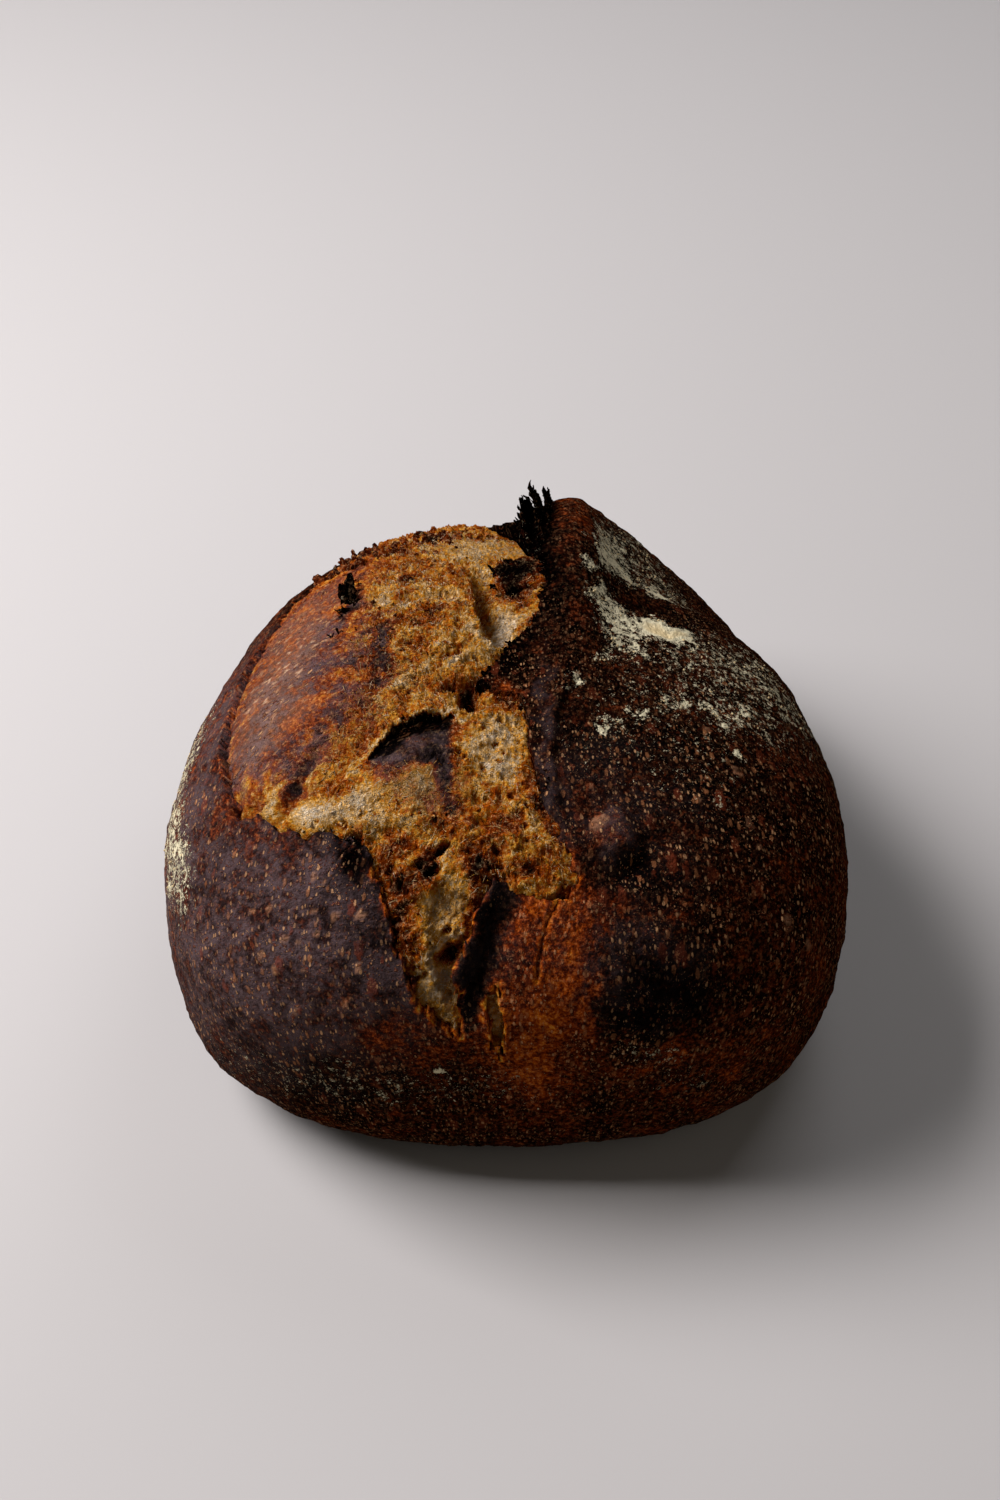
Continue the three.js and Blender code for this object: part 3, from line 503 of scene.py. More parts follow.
bloom = {
    # the grid's columns and rows: from, to, how many
    "fineColumns": (-66, 28, 168), "coarseColumns": (-146, -66, 76),
    "fineRows": (-170, 82, 318), "coarseRows": (82, 168, 42),
    "closeAt": (-38, -10, 45),
    # slow waves of the stretched skin: size, strength, seed, octaves
    "waves": [(12, 0.5, 93, 3), (2.6, 0.25, 95, 3)],
    # threads of torn crumb at three sizes: size east and north, seed, strength
    "threads": [(4.2, 5.6, 86, 0.55), (2.0, 2.6, 87, 0.45), (1.1, 1.35, 88, 0.34)],
    # pale streaks of the stretched skin: east, north, half length, half width, turn
    "streaks": (-92, 0, 46, 24, 80),
    "bake": 0.36,
    "bakes": [
        # the stretched skin at the left and the open quarter's far side
        (-96.7, -5, 62, 26, 80, 0.63, 0.95), (-88.3, -41.7, 30, 20, 50, 0.63, 0.9),
        (-104.9, 46, 60, 30, 60, 0.52, 0.9), (-66.6, -35.4, 34, 12, 75, 0.54, 0.8),
        (-57.2, 76.9, 50, 26, 0, 0.47, 0.9), (-19, 107.4, 40, 22, 0, 0.36, 0.9),
        (-17, 76, 26, 21, 0, 0.19, 0.95),
        (-75, 47.2, 26, 18, 40, 0.46, 0.7), (-60, 36, 10, 5, 80, 0.15, 0.85), (-46, 45, 12, 5, 90, 0.56, 0.8),
        (-34, 44, 14, 6, 90, 0.36, 0.85), (-24.5, 45, 10, 3.6, 100, 0.62, 0.85),
        # the mound
        (-27, 23, 10, 6, 0, 0.13, 0.9), (-48, 22, 14, 4, 0, 0.24, 0.8), (-40, 8, 20, 8, 0, 0.46, 0.85),
        (-42, 2, 5, 3, 0, 0.62, 0.7), (-37, -16, 4, 3, 0, 0.58, 0.7), (-34, -12, 16, 14, 0, 0.32, 0.85),
        (-55, -12, 20, 5, 90, 0.6, 0.8), (-52, -20, 6, 4, 0, 0.7, 0.7), (-55, -2, 6, 3, 60, 0.74, 0.7),
        (-66, -14, 8, 3, 80, 0.72, 0.7), (-60, 5, 6, 3, 40, 0.7, 0.6), (-76, 3, 6, 3, 60, 0.72, 0.7),
        (-14, -17, 12, 7, 10, 0.18, 0.9), (-30, -38, 9, 7, 0, 0.2, 0.85), (-23.5, -34, 3, 2.4, 0, 0.74, 0.85),
        (-23, -17, 2.2, 1.6, 0, 0.6, 0.7), (-3, -21, 1.6, 2.6, 0, 0.8, 0.8), (-73, 28, 13, 4, 75, 0.86, 0.8),
        # the hollow and the hanging flap
        (-12, 50, 9, 8, 0, 0.24, 0.95), (-11, 29, 17, 6, 95, 0.36, 0.95), (-11.5, 13, 7, 3, 90, 0.5, 0.85),
        (-3.5, 4, 15, 9, 78, 0.0, 0.98), (9.5, 12, 11, 3, 80, 0.2, 0.8), (12.8, 4, 13, 2.2, 80, 0.52, 0.85),
        (5, 20, 8, 4, 0, 0.27, 0.9), (4.5, 40, 17, 9.5, 88, 1.03, 0.98), (11.5, 36, 10, 2.2, 95, 0.74, 0.85),
        # the middle of the cross
        (-2, -38, 9, 3, -5, 0.7, 0.9), (-2.2, -43.5, 9, 4, 0, 0.42, 0.8),
        (-17.5, -49.2, 5.5, 3, 0, 0.04, 0.97), (-13, -52, 1.6, 3, 0, 0.6, 0.8),
        (-20, -65, 18, 5, 92, 0.3, 0.85), (-5, -64, 20, 10, 90, 0.14, 0.95), (-4, -68, 12, 6, 90, 0.08, 0.85),
        (7.6, -70, 16, 2.4, 86, 0.36, 0.7), (9.5, -84.5, 3, 5, 0, 0.8, 0.9), (-36, -82, 18, 8, 0, 0.21, 0.93),
        (-25, -69, 20, 4.6, 106, 0.9, 0.96), (-37, -68, 13, 6.4, 20, 0.84, 0.92),
        (-28, -55.5, 9, 5, 0, 0.98, 0.95), (-20.5, -56, 4, 6, 0, 0.62, 0.8), (-58, -60, 15, 7, 60, 0.36, 0.8),
        (-53.5, -71, 3, 4, 0, 0.1, 0.85), (-38, -86, 15, 4, -5, 0.32, 0.8),
        (-65.1, -81.9, 20, 7, -18, 0.07, 0.95), (-81.4, -76.1, 10, 6, -15, 0.08, 0.95),
        (-52.3, -85.2, 12, 6, -20, 0.16, 0.8), (-61.4, -74.7, 12, 5, 0, 0.36, 0.6),
        (-89.5, -72.8, 6, 4.5, 60, 0.42, 0.8), (-97.4, -63.4, 12, 3, 58, 0.22, 0.8),
        (-108.1, -39.1, 34, 2.6, 72, 0.3, 0.8), (-116.5, -4.6, 34, 2.4, 95, 0.3, 0.8),
        (-73.1, -67.9, 12, 3.5, 65, 0.72, 0.9),
        # the front cut
        (-32, -90.5, 18, 1.6, -4, 0.2, 0.8), (-14, -96, 9, 1.4, -35, 0.2, 0.8),
        (-43, -94.5, 4, 3, 0, 0.12, 0.85), (-35, -98, 7, 5, 0, 0.62, 0.85), (-27, -99, 5, 4, 0, 0.3, 0.8),
        (-31, -108, 7, 4, 0, 0.68, 0.9), (-42, -103, 7, 3, 110, 0.5, 0.85),
        (-10, -100, 11, 3, -30, 0.5, 0.85), (-20, -95, 10, 2.4, -10, 0.52, 0.8),
        (-19, -106, 5, 4, 90, 0.1, 0.85), (-8.5, -107, 6, 3.4, 60, 0.8, 0.93),
        (-12, -114.5, 7, 2.6, 80, 0.72, 0.9), (-37, -118, 20, 4.6, 72, 0.62, 0.95),
        (-31, -128, 12, 4, 75, 0.5, 0.85), (-21, -117, 8, 7, 0, 0.13, 0.97), (-17, -127, 4, 3, 0, 0.2, 0.85),
        (-22, -141, 15, 8, 95, 0.1, 0.95), (-30, -138, 2.8, 2.8, 0, 0.07, 0.85),
        (-22, -101.5, 3, 1.5, 30, 0.84, 0.9), (-24, -107.6, 2.6, 1.5, 0, 0.84, 0.9),
        (-19.5, -133, 3.6, 2.6, 30, 0.84, 0.9),
        # the shelf at its right, and the small tear
        (10, -104, 14, 9, 0, 0.43, 0.9), (11, -112, 13, 4, 0, 0.52, 0.9), (2, -90, 8, 5, 0, 0.36, 0.8),
        (10, -95, 4, 3, 0, 0.16, 0.7),
        (-3.4, -154, 10, 4, 95, 0.18, 0.9), (-16.1, -39.2, 6.4, 3, 90, 1.0, 0.98),
    ],
    # where the surface is torn crumb and not stretched skin
    "torns": [
        (-96.7, -5, 66, 24, 80, 0.12, 0.97), (-88.3, -41.7, 30, 18, 50, 0.15, 0.95),
        (-104.9, 46, 60, 26, 60, 0.15, 0.9),
        (-39.3, -68.8, 14, 11, 0, 0.55, 0.7), (-31, -62, 14, 6, 25, 0.4, 0.8),
    ],
    # where pale crumb shows its gas bubbles
    "gassy": [
        (-2.2, -62.8, 22, 11, 90, 1, 0.95), (-0.1, 6.6, 18, 11, 70, 0.8, 0.95),
        (-9, 55, 30, 10, 95, 0.5, 0.9), (-23, -143.1, 15, 7, 100, 0.9, 0.95),
        (-21, -117.6, 10, 8, 0, 1, 0.95), (-65, -82, 26, 6, -18, 0.4, 0.8), (-26, -100, 16, 8, 0, 0.6, 0.8),
        (-12, -86, 9, 6, 0, 0.9, 0.9), (-28, -36, 14, 5, 0, 0.6, 0.8),
    ],
    # where the crumb is smooth
    "calms": [
        (-17, 78, 26, 22, 0, 0.8, 0.95), (-12, 50, 9, 8, 0, 0.9, 0.95), (-11, 29, 17, 6, 95, 0.8, 0.95),
        (-3, 3, 13, 9, 75, 0.6, 0.95), (4, 42, 18, 10, 85, 0.7, 0.9), (-27, 23, 10, 6, 0, 0.6, 0.9),
        (-33, 48, 16, 7, 90, 0.6, 0.9), (-10, -17, 12, 7, 10, 0.5, 0.9), (-21, -117, 8, 7, 0, 0.95, 0.95),
        (-24, -143, 13, 7, 95, 0.9, 0.95), (-34, -60, 18, 9, 40, 0.5, 0.9), (-36, -80, 18, 9, 0, 0.9, 0.95),
        (-5, -64, 20, 9, 90, 0.4, 0.9), (-65, -82, 20, 6, -18, 0.4, 0.8),
    ],
    "specks": [
        (-96.7, -5, 66, 28, 80, 2.3, 1), (-84, -42, 34, 22, 40, 2.2, 1), (-98, 44, 46, 28, 65, 2.2, 0.95),
        (-62, 62, 20, 14, 40, 2.0, 0.8), (-52, -44, 26, 16, 50, 1.9, 0.7), (-34, -82, 17, 7, 0, 4.2, 0.9),
    ],
    # purple-brown tone of the stretched skin and of the bump by the fissure, partly its own colour and partly
    # painted sheen
    "plumAndSheenPatches": [
        (-92.1, -7.3, 54, 26, 80, 1.3, 0.9), (-98, 44, 40, 24, 65, 0.6, 0.9),
        (-82, -44, 30, 20, 45, 1.4, 0.9), (-64.8, -15.4, 34, 10, 80, 0.8, 0.8),
        (-38, -67, 13, 7, 20, 0.95, 0.9), (-24.5, -72, 14, 5, 105, 0.5, 0.9), (-34, -82, 18, 8, 0, 0.62, 0.9),
        (-48.3, -31, 14, 8, 20, 0.6, 0.7),
    ],
    # gas holes: east, north, half length, half width, turn, depth
    "holes": [
        (-16.1, -39.5, 4, 6.8, 0, 8), (-23.5, -34, 3, 2.4, 0, 3), (-22, -101.5, 3, 1.5, 30, 3.4),
        (-24, -107.6, 2.6, 1.5, 0, 3.4), (-19.5, -133, 3.6, 2.6, 30, 4), (-30, -138, 2.8, 2.8, 0, 1.6),
        (-21, -117, 7, 6, 0, 2.6), (-23, -145.1, 6, 8, 15, 1.6), (-8.8, -92.4, 2.6, 1.8, 0, 3),
        (-11.6, -87.4, 5, 3.5, 60, 1.6), (2.4, -53.6, 4, 5, 0, 1.4), (3.3, -66.4, 3.4, 5, 0, 1.5),
        (-5.4, -66, 4, 4.4, 0, 1.5), (-2.2, -60.1, 2.8, 3.8, 30, 1.0), (0.4, -76, 3, 2.6, 0, 1.4),
        (-2.3, -84.7, 1.6, 1.2, 0, 1.6), (-51.5, -94.2, 3.4, 3.2, 0, 6), (-89.5, -73.7, 5, 4, 60, 3.2),
        (-12, 49, 7, 8, 0, 2), (-9.5, 14, 3.4, 6, 5, 2.6), (-3, 3, 8, 11, 25, 2),
        (16.4, -115.4, 2.6, 1.2, 20, 3), (-3.4, -154, 2.8, 8, 10, 1.5), (-42.9, -36.3, 2.2, 1.4, 10, 1.5),
        (-60, 36, 4, 9, -10, 2.4), (-28, 23, 8, 4, 0, 1.4), (-23, -17, 2, 1.4, 0, 1.5),
        (-3, -21, 1.4, 2.4, 0, 2),
    ],
    # steps, each lower on its left: east, north, depth
    "fissure": [
        (-20, -47.6, 0), (-25, -47.2, 3), (-31.8, -48, 4.5), (-40.2, -51.2, 4.5), (-46, -56.8, 4),
        (-50, -64.6, 2.4), (-52.5, -70, 0),
    ],
    "hollow": [
        (-23.5, 62, 0), (-21.5, 52, 4.5), (-17, 37, 7), (-15, 25, 8), (-14, 10, 9), (-12, 0, 9),
        (-9.5, -7, 6), (-3, -12, 0),
    ],
    "flap": [
        (14, 24, 0), (8, 27, 3), (2, 28, 4), (-4, 31, 5), (-5.6, 38, 5.5), (-5, 46, 5.5), (-2, 52, 5),
        (4, 57, 3), (6, 64, 0),
    ],
    # plain lines: the mound's fold, the left quarter's crease, its front rim, and the front bar of the cross
    "fold": [(-62.4, 26.3), (-52.2, 24.6), (-42, 24.7), (-29.9, 24.7), (-18.7, 23.7)],
    "crease": [(-70.3, -57.1), (-73.2, -69.7), (-77.8, -80.5)],
    "rim": [(-54.2, -89.7), (-65.1, -86.4), (-76, -81.3), (-85, -75.4)],
    "bar": [(-48.7, -90.5), (-37.6, -88.6), (-22.8, -92.9), (-7.9, -96.5), (3.3, -99.2)],
}


# The bloom's relief: swellings, a drop along the lip, the fissure, hollow, flap and folds as steps beside
# lines, gas holes with steep walls, sheets whose ragged ends come from a sawtooth of slow noise, bubbles from
# random cells, and fibres from threads at three sizes.
def bloomSkin(east, north):
    lip = lipOf(east, north)
    drop, _, _, char, _, soft = (lip["values"][..., k] for k in range(6))
    s = lip["signed"]
    torn = painted(1.0, bloom["torns"], east, north, 71)
    gassy = painted(0.12, bloom["gassy"], east, north, 73) * torn
    height = broadRelief(east, north)
    height -= drop * np.exp(-np.maximum(s, 0) / np.where(drop > 5.5, 11, 5.5))
    height -= (0.6 + 2.0 * (1 - soft)) * smooth(0.5, -1.5, s) + 0.22 * np.clip(-s, 0, 12) + 0.35 * soft
    re, rn = raggedPlaces(east, north, 1.1, 0.5)

    fissure = nearest(bloom["fissure"], re, rn)
    side, deep = fissure["distance"] * fissure["left"], fissure["values"][..., 0]
    height -= deep * smooth(-0.4, 0.7, side) * bell(fissure["distance"], 4.5)
    height += 0.3 * deep * smooth(0.5, -0.5, side) * np.exp(-fissure["distance"] / 6)
    strong = np.clip(deep / 3, 0, 1)
    tuck = (1.6 * smooth(0.4, -0.4, side) * np.exp(-fissure["distance"] / 3)
            - 1.8 * smooth(0.2, 1.6, side) * np.exp(-fissure["distance"] / 3)) * strong
    acrossEast, acrossNorth = acrossLine(fissure, re, rn)
    shiftEast, shiftNorth = acrossEast * tuck, acrossNorth * tuck

    hollow = nearest(bloom["hollow"], re, rn)
    hollowSide, deep = hollow["distance"] * hollow["left"], hollow["values"][..., 0]
    height -= 1.3 * deep * smooth(-0.6, 1.0, hollowSide) * np.exp(-hollow["distance"] / 13)
    height += 0.2 * deep * smooth(0.5, -1, hollowSide) * np.exp(-hollow["distance"] / 5)

    flap = nearest(bloom["flap"], re, rn)
    flapSide, rise = flap["distance"] * flap["left"], flap["values"][..., 0]
    onFlap = smooth(0.5, -0.5, flapSide)
    height += rise * onFlap * np.exp(-flap["distance"] / 12)
    tuck = (1.4 * onFlap * np.exp(-flap["distance"] / 3)
            - 2.4 * smooth(0.1, 1.2, flapSide) * np.exp(-flap["distance"] / 3)) * np.clip(rise / 4, 0, 1)
    acrossEast, acrossNorth = acrossLine(flap, re, rn)
    shiftEast, shiftNorth = shiftEast + acrossEast * tuck, shiftNorth + acrossNorth * tuck

    fold = nearest(bloom["fold"], re, rn)
    side = fold["distance"] * fold["left"]
    along = smooth(9, 0, np.abs(east + 44) - 22)
    height += 2.6 * smooth(1.0, -1.2, -side) * np.exp(-fold["distance"] / 7) * along
    height -= 3.4 * bell(nearest(bloom["crease"], re, rn)["distance"], 2.2)
    height += 2.2 * bell(nearest(bloom["rim"], re, rn)["distance"], 5.5)
    height += 1.8 * bell(nearest(bloom["bar"], re, rn)["distance"], 2.6) * torn

    pits = np.zeros_like(east)
    for row in bloom["holes"]:
        share = patch(row[:5], re, rn, 4)
        height -= row[5] * share
        pits = np.maximum(pits, share * np.clip(row[5] / 4, 0, 1))

    calm = painted(0.0, bloom["calms"], east, north, 75, 3)
    lively = 1 - 0.8 * calm
    we = east + 2.4 * noise(east / 9, north / 9, 81) + 0.9 * noise(east / 3.4, north / 3.4, 82)
    wn = north + 2.4 * noise(east / 9, north / 9, 83) + 0.9 * noise(east / 3.4, north / 3.4, 84)
    steps = 1.5 * clouds(we / 19, wn / 12, 85, 3) + 0.03 * wn
    level = steps * 2.2
    sheet = level - np.floor(level)
    sheetEnd = smooth(0.8, 0.97, sheet)
    height += torn * lively * (1 - gassy) * (1.9 * (sheet - 1.05 * smooth(0.9, 1.0, sheet)) - 0.8)
    first, second, own = cells(we / 4.6, wn / 6.2, 91)
    bubble = smooth(0.04, 0.4, second - first)
    height -= gassy * (0.5 + 0.9 * own) * bubble
    first, second, own = cells(we / 2.1, wn / 2.7, 94)
    small = smooth(0.04, 0.35, second - first)
    height -= torn * (0.12 + 0.35 * gassy) * (0.4 + own) * small
    ridges = [threads(we / row[0], wn / row[1], row[2]) for row in bloom["threads"]]
    threaded = sum(row[3] * ridge for row, ridge in zip(bloom["threads"], ridges))
    _, fine, finest = ridges
    lumps = clouds(we / 10, wn / 8, 89, 3, 0.42)
    height += torn * lively * (0.45 * (threaded - 0.5) * (1 - 0.6 * gassy) + 1.5 * lumps * (1 - 0.5 * gassy))
    first, _, own = cells(we / 5.2, wn / 4.4, 96)
    mouths = smooth(0.3, 0.16, first) * smooth(0.84, 0.9, own) * torn * lively
    height -= 2.2 * mouths
    height += (1 - torn) * waves(bloom["waves"], east, north)
    point = raised(east, north, height, shiftEast, shiftNorth)

    bake = painted(bloom["bake"], bloom["bakes"], east, north, 97, 3)
    patchy = clouds(we / 12, wn / 10, 99, 5, 0.55)
    rich = smooth(0.02, 0.3, bake)
    mottle = 0.2 * np.minimum(patchy, 0.9) + 0.16 * sheetEnd * (1 - gassy) - 0.07 * (sheet - 0.5)
    bake += torn * rich * lively * mottle
    # darker in the low places of the lumps: painted shade in these hollows
    bake += torn * rich * lively * 0.12 * smooth(0.1, -0.6, lumps)
    bake += (0.72 - bake) * 0.7 * mouths
    # lighter on the fine threads and darker between them, where the dark is painted shade
    bake += torn * (0.12 * (0.4 - fine) + 0.1 * (0.4 - finest)) * (0.4 + 0.6 * rich)
    bake += gassy * (0.1 * (1 - bubble) + 0.07 * (1 - small) - 0.03)
    bake += (0.66 - bake) * char * np.exp(-np.maximum(s, 0) / 2.5) * 0.9
    bake += (0.5 - bake) * 0.45 * np.exp(-np.maximum(s, 0) / 1.5) * (1 - soft) * (1 - char)
    bake += (np.maximum(bake, 0.75) - bake) * np.clip(pits * 1.2 - 0.75, 0, 1) * 0.6
    # the hollow's left wall darkened to golden brown: partly its own colour and partly painted shade
    wall = bell(hollowSide - 0.2, 1.2) * np.clip(deep / 4, 0, 1)
    bake += (0.44 - bake) * 0.75 * wall
    deep = smooth(0.4, 2.2, fissure["values"][..., 0])
    black = smooth(-0.5, 0.1, fissure["distance"] * fissure["left"]) * deep
    away = fissure["distance"] + 1.6 * clouds(we / 6, wn / 6, 101, 3)
    bake += (0.8 - bake) * black * smooth(16, 8, away) * 0.8
    bake += (1.04 - bake) * black * smooth(10.5, 7, away)
    lipLight = bell(fissure["distance"] - 1.0, 0.7) * (fissure["left"] < 0)
    bake += (0.08 - bake) * 0.9 * lipLight * deep
    speck = painted(0.25, bloom["specks"], east, north, 63) * (1 - 0.8 * torn)
    grainy = noise(east / 2.4, north / 4.4, 111) + 0.3 * noise(east / 0.9, north / 1.6, 113)
    streak = smooth(0.42, 0.62, grainy)
    speck += 3.4 * streak * (1 - torn) * patch(bloom["streaks"], east, north, 3)
    # the purple-brown tone, partly its own colour and partly painted sheen
    plumAndSheen = painted(0.0, bloom["plumAndSheenPatches"], east, north, 65, 6)
    flour = 0 * east - 2
    return point, {"bake": bake, "torn": torn, "flour": flour, "speck": speck, "plumAndSheen": plumAndSheen, "calm": calm}


mmToM = 0.001
shiftToFrame = np.zeros(3)


# A mesh from points in millimetres and faces, moved into the frame, with its attributes and grain map.
def makePiece(name, points, faces, attributes, grain, material):
    mesh = bpy.data.meshes.new(name)
    place = (points + shiftToFrame) * mmToM
    corners = np.concatenate([np.asarray(f, np.int32).ravel() for f in faces])
    sizes = np.concatenate([np.full(len(f), np.shape(f)[1], np.int32) for f in faces])
    mesh.vertices.add(len(points))
    mesh.vertices.foreach_set("co", place.astype(np.float32).ravel())
    mesh.loops.add(len(corners))
    mesh.loops.foreach_set("vertex_index", corners)
    mesh.polygons.add(len(sizes))
    mesh.polygons.foreach_set("loop_start", np.concatenate([[0], np.cumsum(sizes)[:-1]]).astype(np.int32))
    mesh.polygons.foreach_set("use_smooth", np.ones(len(sizes), bool))
    mesh.update(calc_edges=True)
    for key, value in attributes.items():
        layer = mesh.attributes.new(key, "FLOAT", "POINT")
        layer.data.foreach_set("value", np.asarray(value, np.float32).ravel())
    layer = mesh.uv_layers.new(name="grain")
    layer.data.foreach_set("uv", (np.asarray(grain, np.float32)[corners] * mmToM).ravel())
    mesh.validate()
    mesh.materials.append(material)
    piece = bpy.data.objects.new(name, mesh)
    bpy.context.collection.objects.link(piece)
    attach(piece, "root")
    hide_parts("loaf")
    print(name, len(points), "points", int((sizes - 2).sum()), "triangles")
    return piece


# Quads of a grid of rows and columns, whose first index is the row.
def gridFaces(rows, columns, first=0):
    a = (np.arange(rows - 1)[:, None] * columns + np.arange(columns - 1)[None, :]).ravel() + first
    return np.stack([a, a + 1, a + columns + 1, a + columns], 1)


# The grain's map: east and north turned by an angle, and shortened along it by a stretch.
def grainMap(east, north, angle=35, stretch=3.0):
    c, s = math.cos(math.radians(angle)), math.sin(math.radians(angle))
    return np.stack([(east * c + north * s) / stretch, north * c - east * s], -1)


# The crust: a square grid spread over a round dome, rings that hang from its rim, and a fan under the base.
def crustPiece(material):
    n = crust["domeCells"]
    even = 2 * np.arange(n + 1) / n - 1
    bent = even * (crust["middleDensity"] + (1 - crust["middleDensity"]) * even * even)
    u, v = np.meshgrid(bent, bent)
    east = crust["domeReach"] * u * np.sqrt(1 - v * v / 2)
    north = crust["domeReach"] * v * np.sqrt(1 - u * u / 2)
    index = np.arange((n + 1) ** 2).reshape(n + 1, n + 1)
    rim = np.concatenate([index[0, :-1], index[:-1, -1], index[-1, :0:-1], index[:0:-1, 0]])
    rimEast, rimNorth = east.ravel()[rim], north.ravel()[rim]
    rimReach = np.hypot(rimEast, rimNorth)
    east, north = drawnIn(east.ravel(), north.ravel())
    faces = [gridFaces(n + 1, n + 1)]
    places = [(east, north)]
    outer, first = rim, (n + 1) ** 2
    for reach in crust["skirtRings"]:
        places.append((rimEast * reach / rimReach, rimNorth * reach / rimReach))
        inner = np.arange(len(rim)) + first
        faces.append(np.stack([np.roll(outer, -1), outer, inner, np.roll(inner, -1)], 1))
        outer, first = inner, first + len(rim)
    places.append((np.array([0.0]), np.array([crust["domeReach"] + crust["underReach"]])))
    faces.append(np.stack([np.full(len(rim), first), np.roll(outer, -1), outer], 1))
    east, north = (np.concatenate([p[k] for p in places]) for k in (0, 1))
    point, attributes = crustSkin(east, north)
    point[-1] = (0, 0, 0)
    box = np.array(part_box("loaf")) * 1000
    shiftToFrame[:2] = (box[0, :2] + box[1, :2]) / 2 - (point[:, :2].min(0) + point[:, :2].max(0)) / 2
    print("shift to the frame, mm", shiftToFrame)
    return makePiece("crust", point, faces, attributes, grainMap(east, north, 90, 1.8), material)


# The bloom: a grid of columns and rows, finest over torn crumb, closed by a fan to a point in the loaf.
def bloomPiece(material):
    coarse, fine = bloom["coarseColumns"], bloom["fineColumns"]
    columns = np.concatenate([np.linspace(*coarse, endpoint=False), np.linspace(*fine)])
    fine, coarse = bloom["fineRows"], bloom["coarseRows"]
    rows = np.concatenate([np.linspace(*fine, endpoint=False), np.linspace(*coarse)])
    east, north = (a.ravel() for a in np.meshgrid(columns, rows))
    point, attributes = bloomSkin(east, north)
    index = np.arange(len(east)).reshape(len(rows), len(columns))
    rim = np.concatenate([index[0, :-1], index[:-1, -1], index[-1, :0:-1], index[:0:-1, 0]])
    middle = len(east)
    fan = np.stack([np.full(len(rim), middle), np.roll(rim, -1), rim], 1)
    faces = [gridFaces(len(rows), len(columns)), fan]
    point = np.vstack([point, bloom["closeAt"]])
    attributes = {key: np.append(value, 0.5) for key, value in attributes.items()}
    grain = np.vstack([grainMap(east, north), (0, 0)])
    return makePiece("torn_bloom", point, faces, attributes, grain, material)


# Strands swept along paths: at each point of a path a ring of corners round it, whose width lies across the
# path and whose thickness lies along the given outward direction. Both ends are closed by a flat face.
def sweptStrands(paths, outward, widths, thicknesses, sides):
    count, steps = paths.shape[:2]
    ahead = np.gradient(paths, axis=1)
    ahead /= np.maximum(np.linalg.norm(ahead, axis=-1, keepdims=True), 1e-9)
    across = np.cross(outward, ahead)
    across /= np.maximum(np.linalg.norm(across, axis=-1, keepdims=True), 1e-9)
    out = np.cross(ahead, across)
    angle = 2 * np.pi * np.arange(sides) / sides
    ring = across[:, :, None] * np.cos(angle)[:, None] * widths[..., None, None] / 2
    ring = ring + out[:, :, None] * np.sin(angle)[:, None] * thicknesses[..., None, None] / 2
    points = (paths[:, :, None] + ring).reshape(-1, 3)
    index = np.arange(count * steps * sides).reshape(count, steps, sides)
    turned = np.roll(index, -1, 2)
    walls = np.stack([index[:, :-1], turned[:, :-1], turned[:, 1:], index[:, 1:]], -1).reshape(-1, 4)
    return points, [walls, index[:, 0, ::-1], index[:, -1]]


# A piece's attributes: how strongly each corner is baked, and the other values, the same all over.
def looks(bake, torn=0.0, flour=0.0, speck=0.0):
    flat = np.zeros(len(bake))
    return {"bake": bake, "torn": flat + torn, "flour": flat + flour, "speck": flat + speck, "plumAndSheen": flat}


fibres = {
    "count": 11000, "steps": 5, "sides": 3, "seed": 7, "east": (-66, 27), "north": (-160, 100),
    "lengths": (0.8, 4.0), "widths": (0.14, 0.3), "arch": (0.05, 0.6),
    # least distance within a tear, strongest bake that bears them, and the pale ones' share and bake
    "fromLip": 0.6, "burnt": 0.72, "paleShare": 0.18, "paleBake": (0.04, 0.2),
}


# Fibres of torn gluten: short strands over the bloom, each an arc that starts on the surface, bends as a
# square of its length and arches as a parabola, at random places that are torn and not burnt.
def fibrePiece(material):
    chance = np.random.default_rng(fibres["seed"])
    count, steps, sides = fibres["count"], fibres["steps"], fibres["sides"]
    east = chance.uniform(*fibres["east"], count)
    north = chance.uniform(*fibres["north"], count)
    lip = lipOf(east, north, False)
    _, near = bloomSkin(east, north)
    kept = (lip["signed"] > fibres["fromLip"]) & (chance.random(count) < near["torn"] ** 3)
    kept &= near["bake"] < fibres["burnt"]
    east, north, bake = east[kept], north[kept], near["bake"][kept]
    count = len(east)
    shortest, longest = fibres["lengths"]
    length = shortest + (longest - shortest) * chance.random(count) ** 2.5
    angle = chance.uniform(0, 2 * np.pi, count)
    bend = chance.normal(0, 0.22, count)
    t = np.linspace(0, 1, steps)
    run, aside = length[:, None] * t, bend[:, None] * length[:, None] * t * t
    c, s = np.cos(angle)[:, None], np.sin(angle)[:, None]
    e, n = east[:, None] + run * c - aside * s, north[:, None] + run * s + aside * c
    point, _ = bloomSkin(e, n)
    normal = bodyNormal(e, n)
    arch = chance.uniform(*fibres["arch"], count)[:, None] * 4 * t
    arch *= 1 - t * chance.uniform(0.5, 1, count)[:, None]
    paths = point + normal * (arch + 0.02)[..., None]
    taper = np.sqrt(np.clip(np.sin(np.pi * (0.12 + 0.8 * t)), 0, 1))
    width = chance.uniform(*fibres["widths"], count)[:, None] * taper
    points, faces = sweptStrands(paths, normal, width, width, sides)
    pale = chance.random(count) < fibres["paleShare"]
    paleTone = chance.uniform(*fibres["paleBake"], count)
    tone = np.where(pale, paleTone, np.clip(bake + chance.uniform(-0.26, 0.04, count), 0.04, 1))
    attributes = looks(np.repeat(tone, steps * sides), torn=1)
    grain = np.stack([np.repeat(e.ravel(), sides), np.repeat(n.ravel(), sides)], -1)
    return makePiece("gluten_fibres", points, faces, attributes, grain, material)


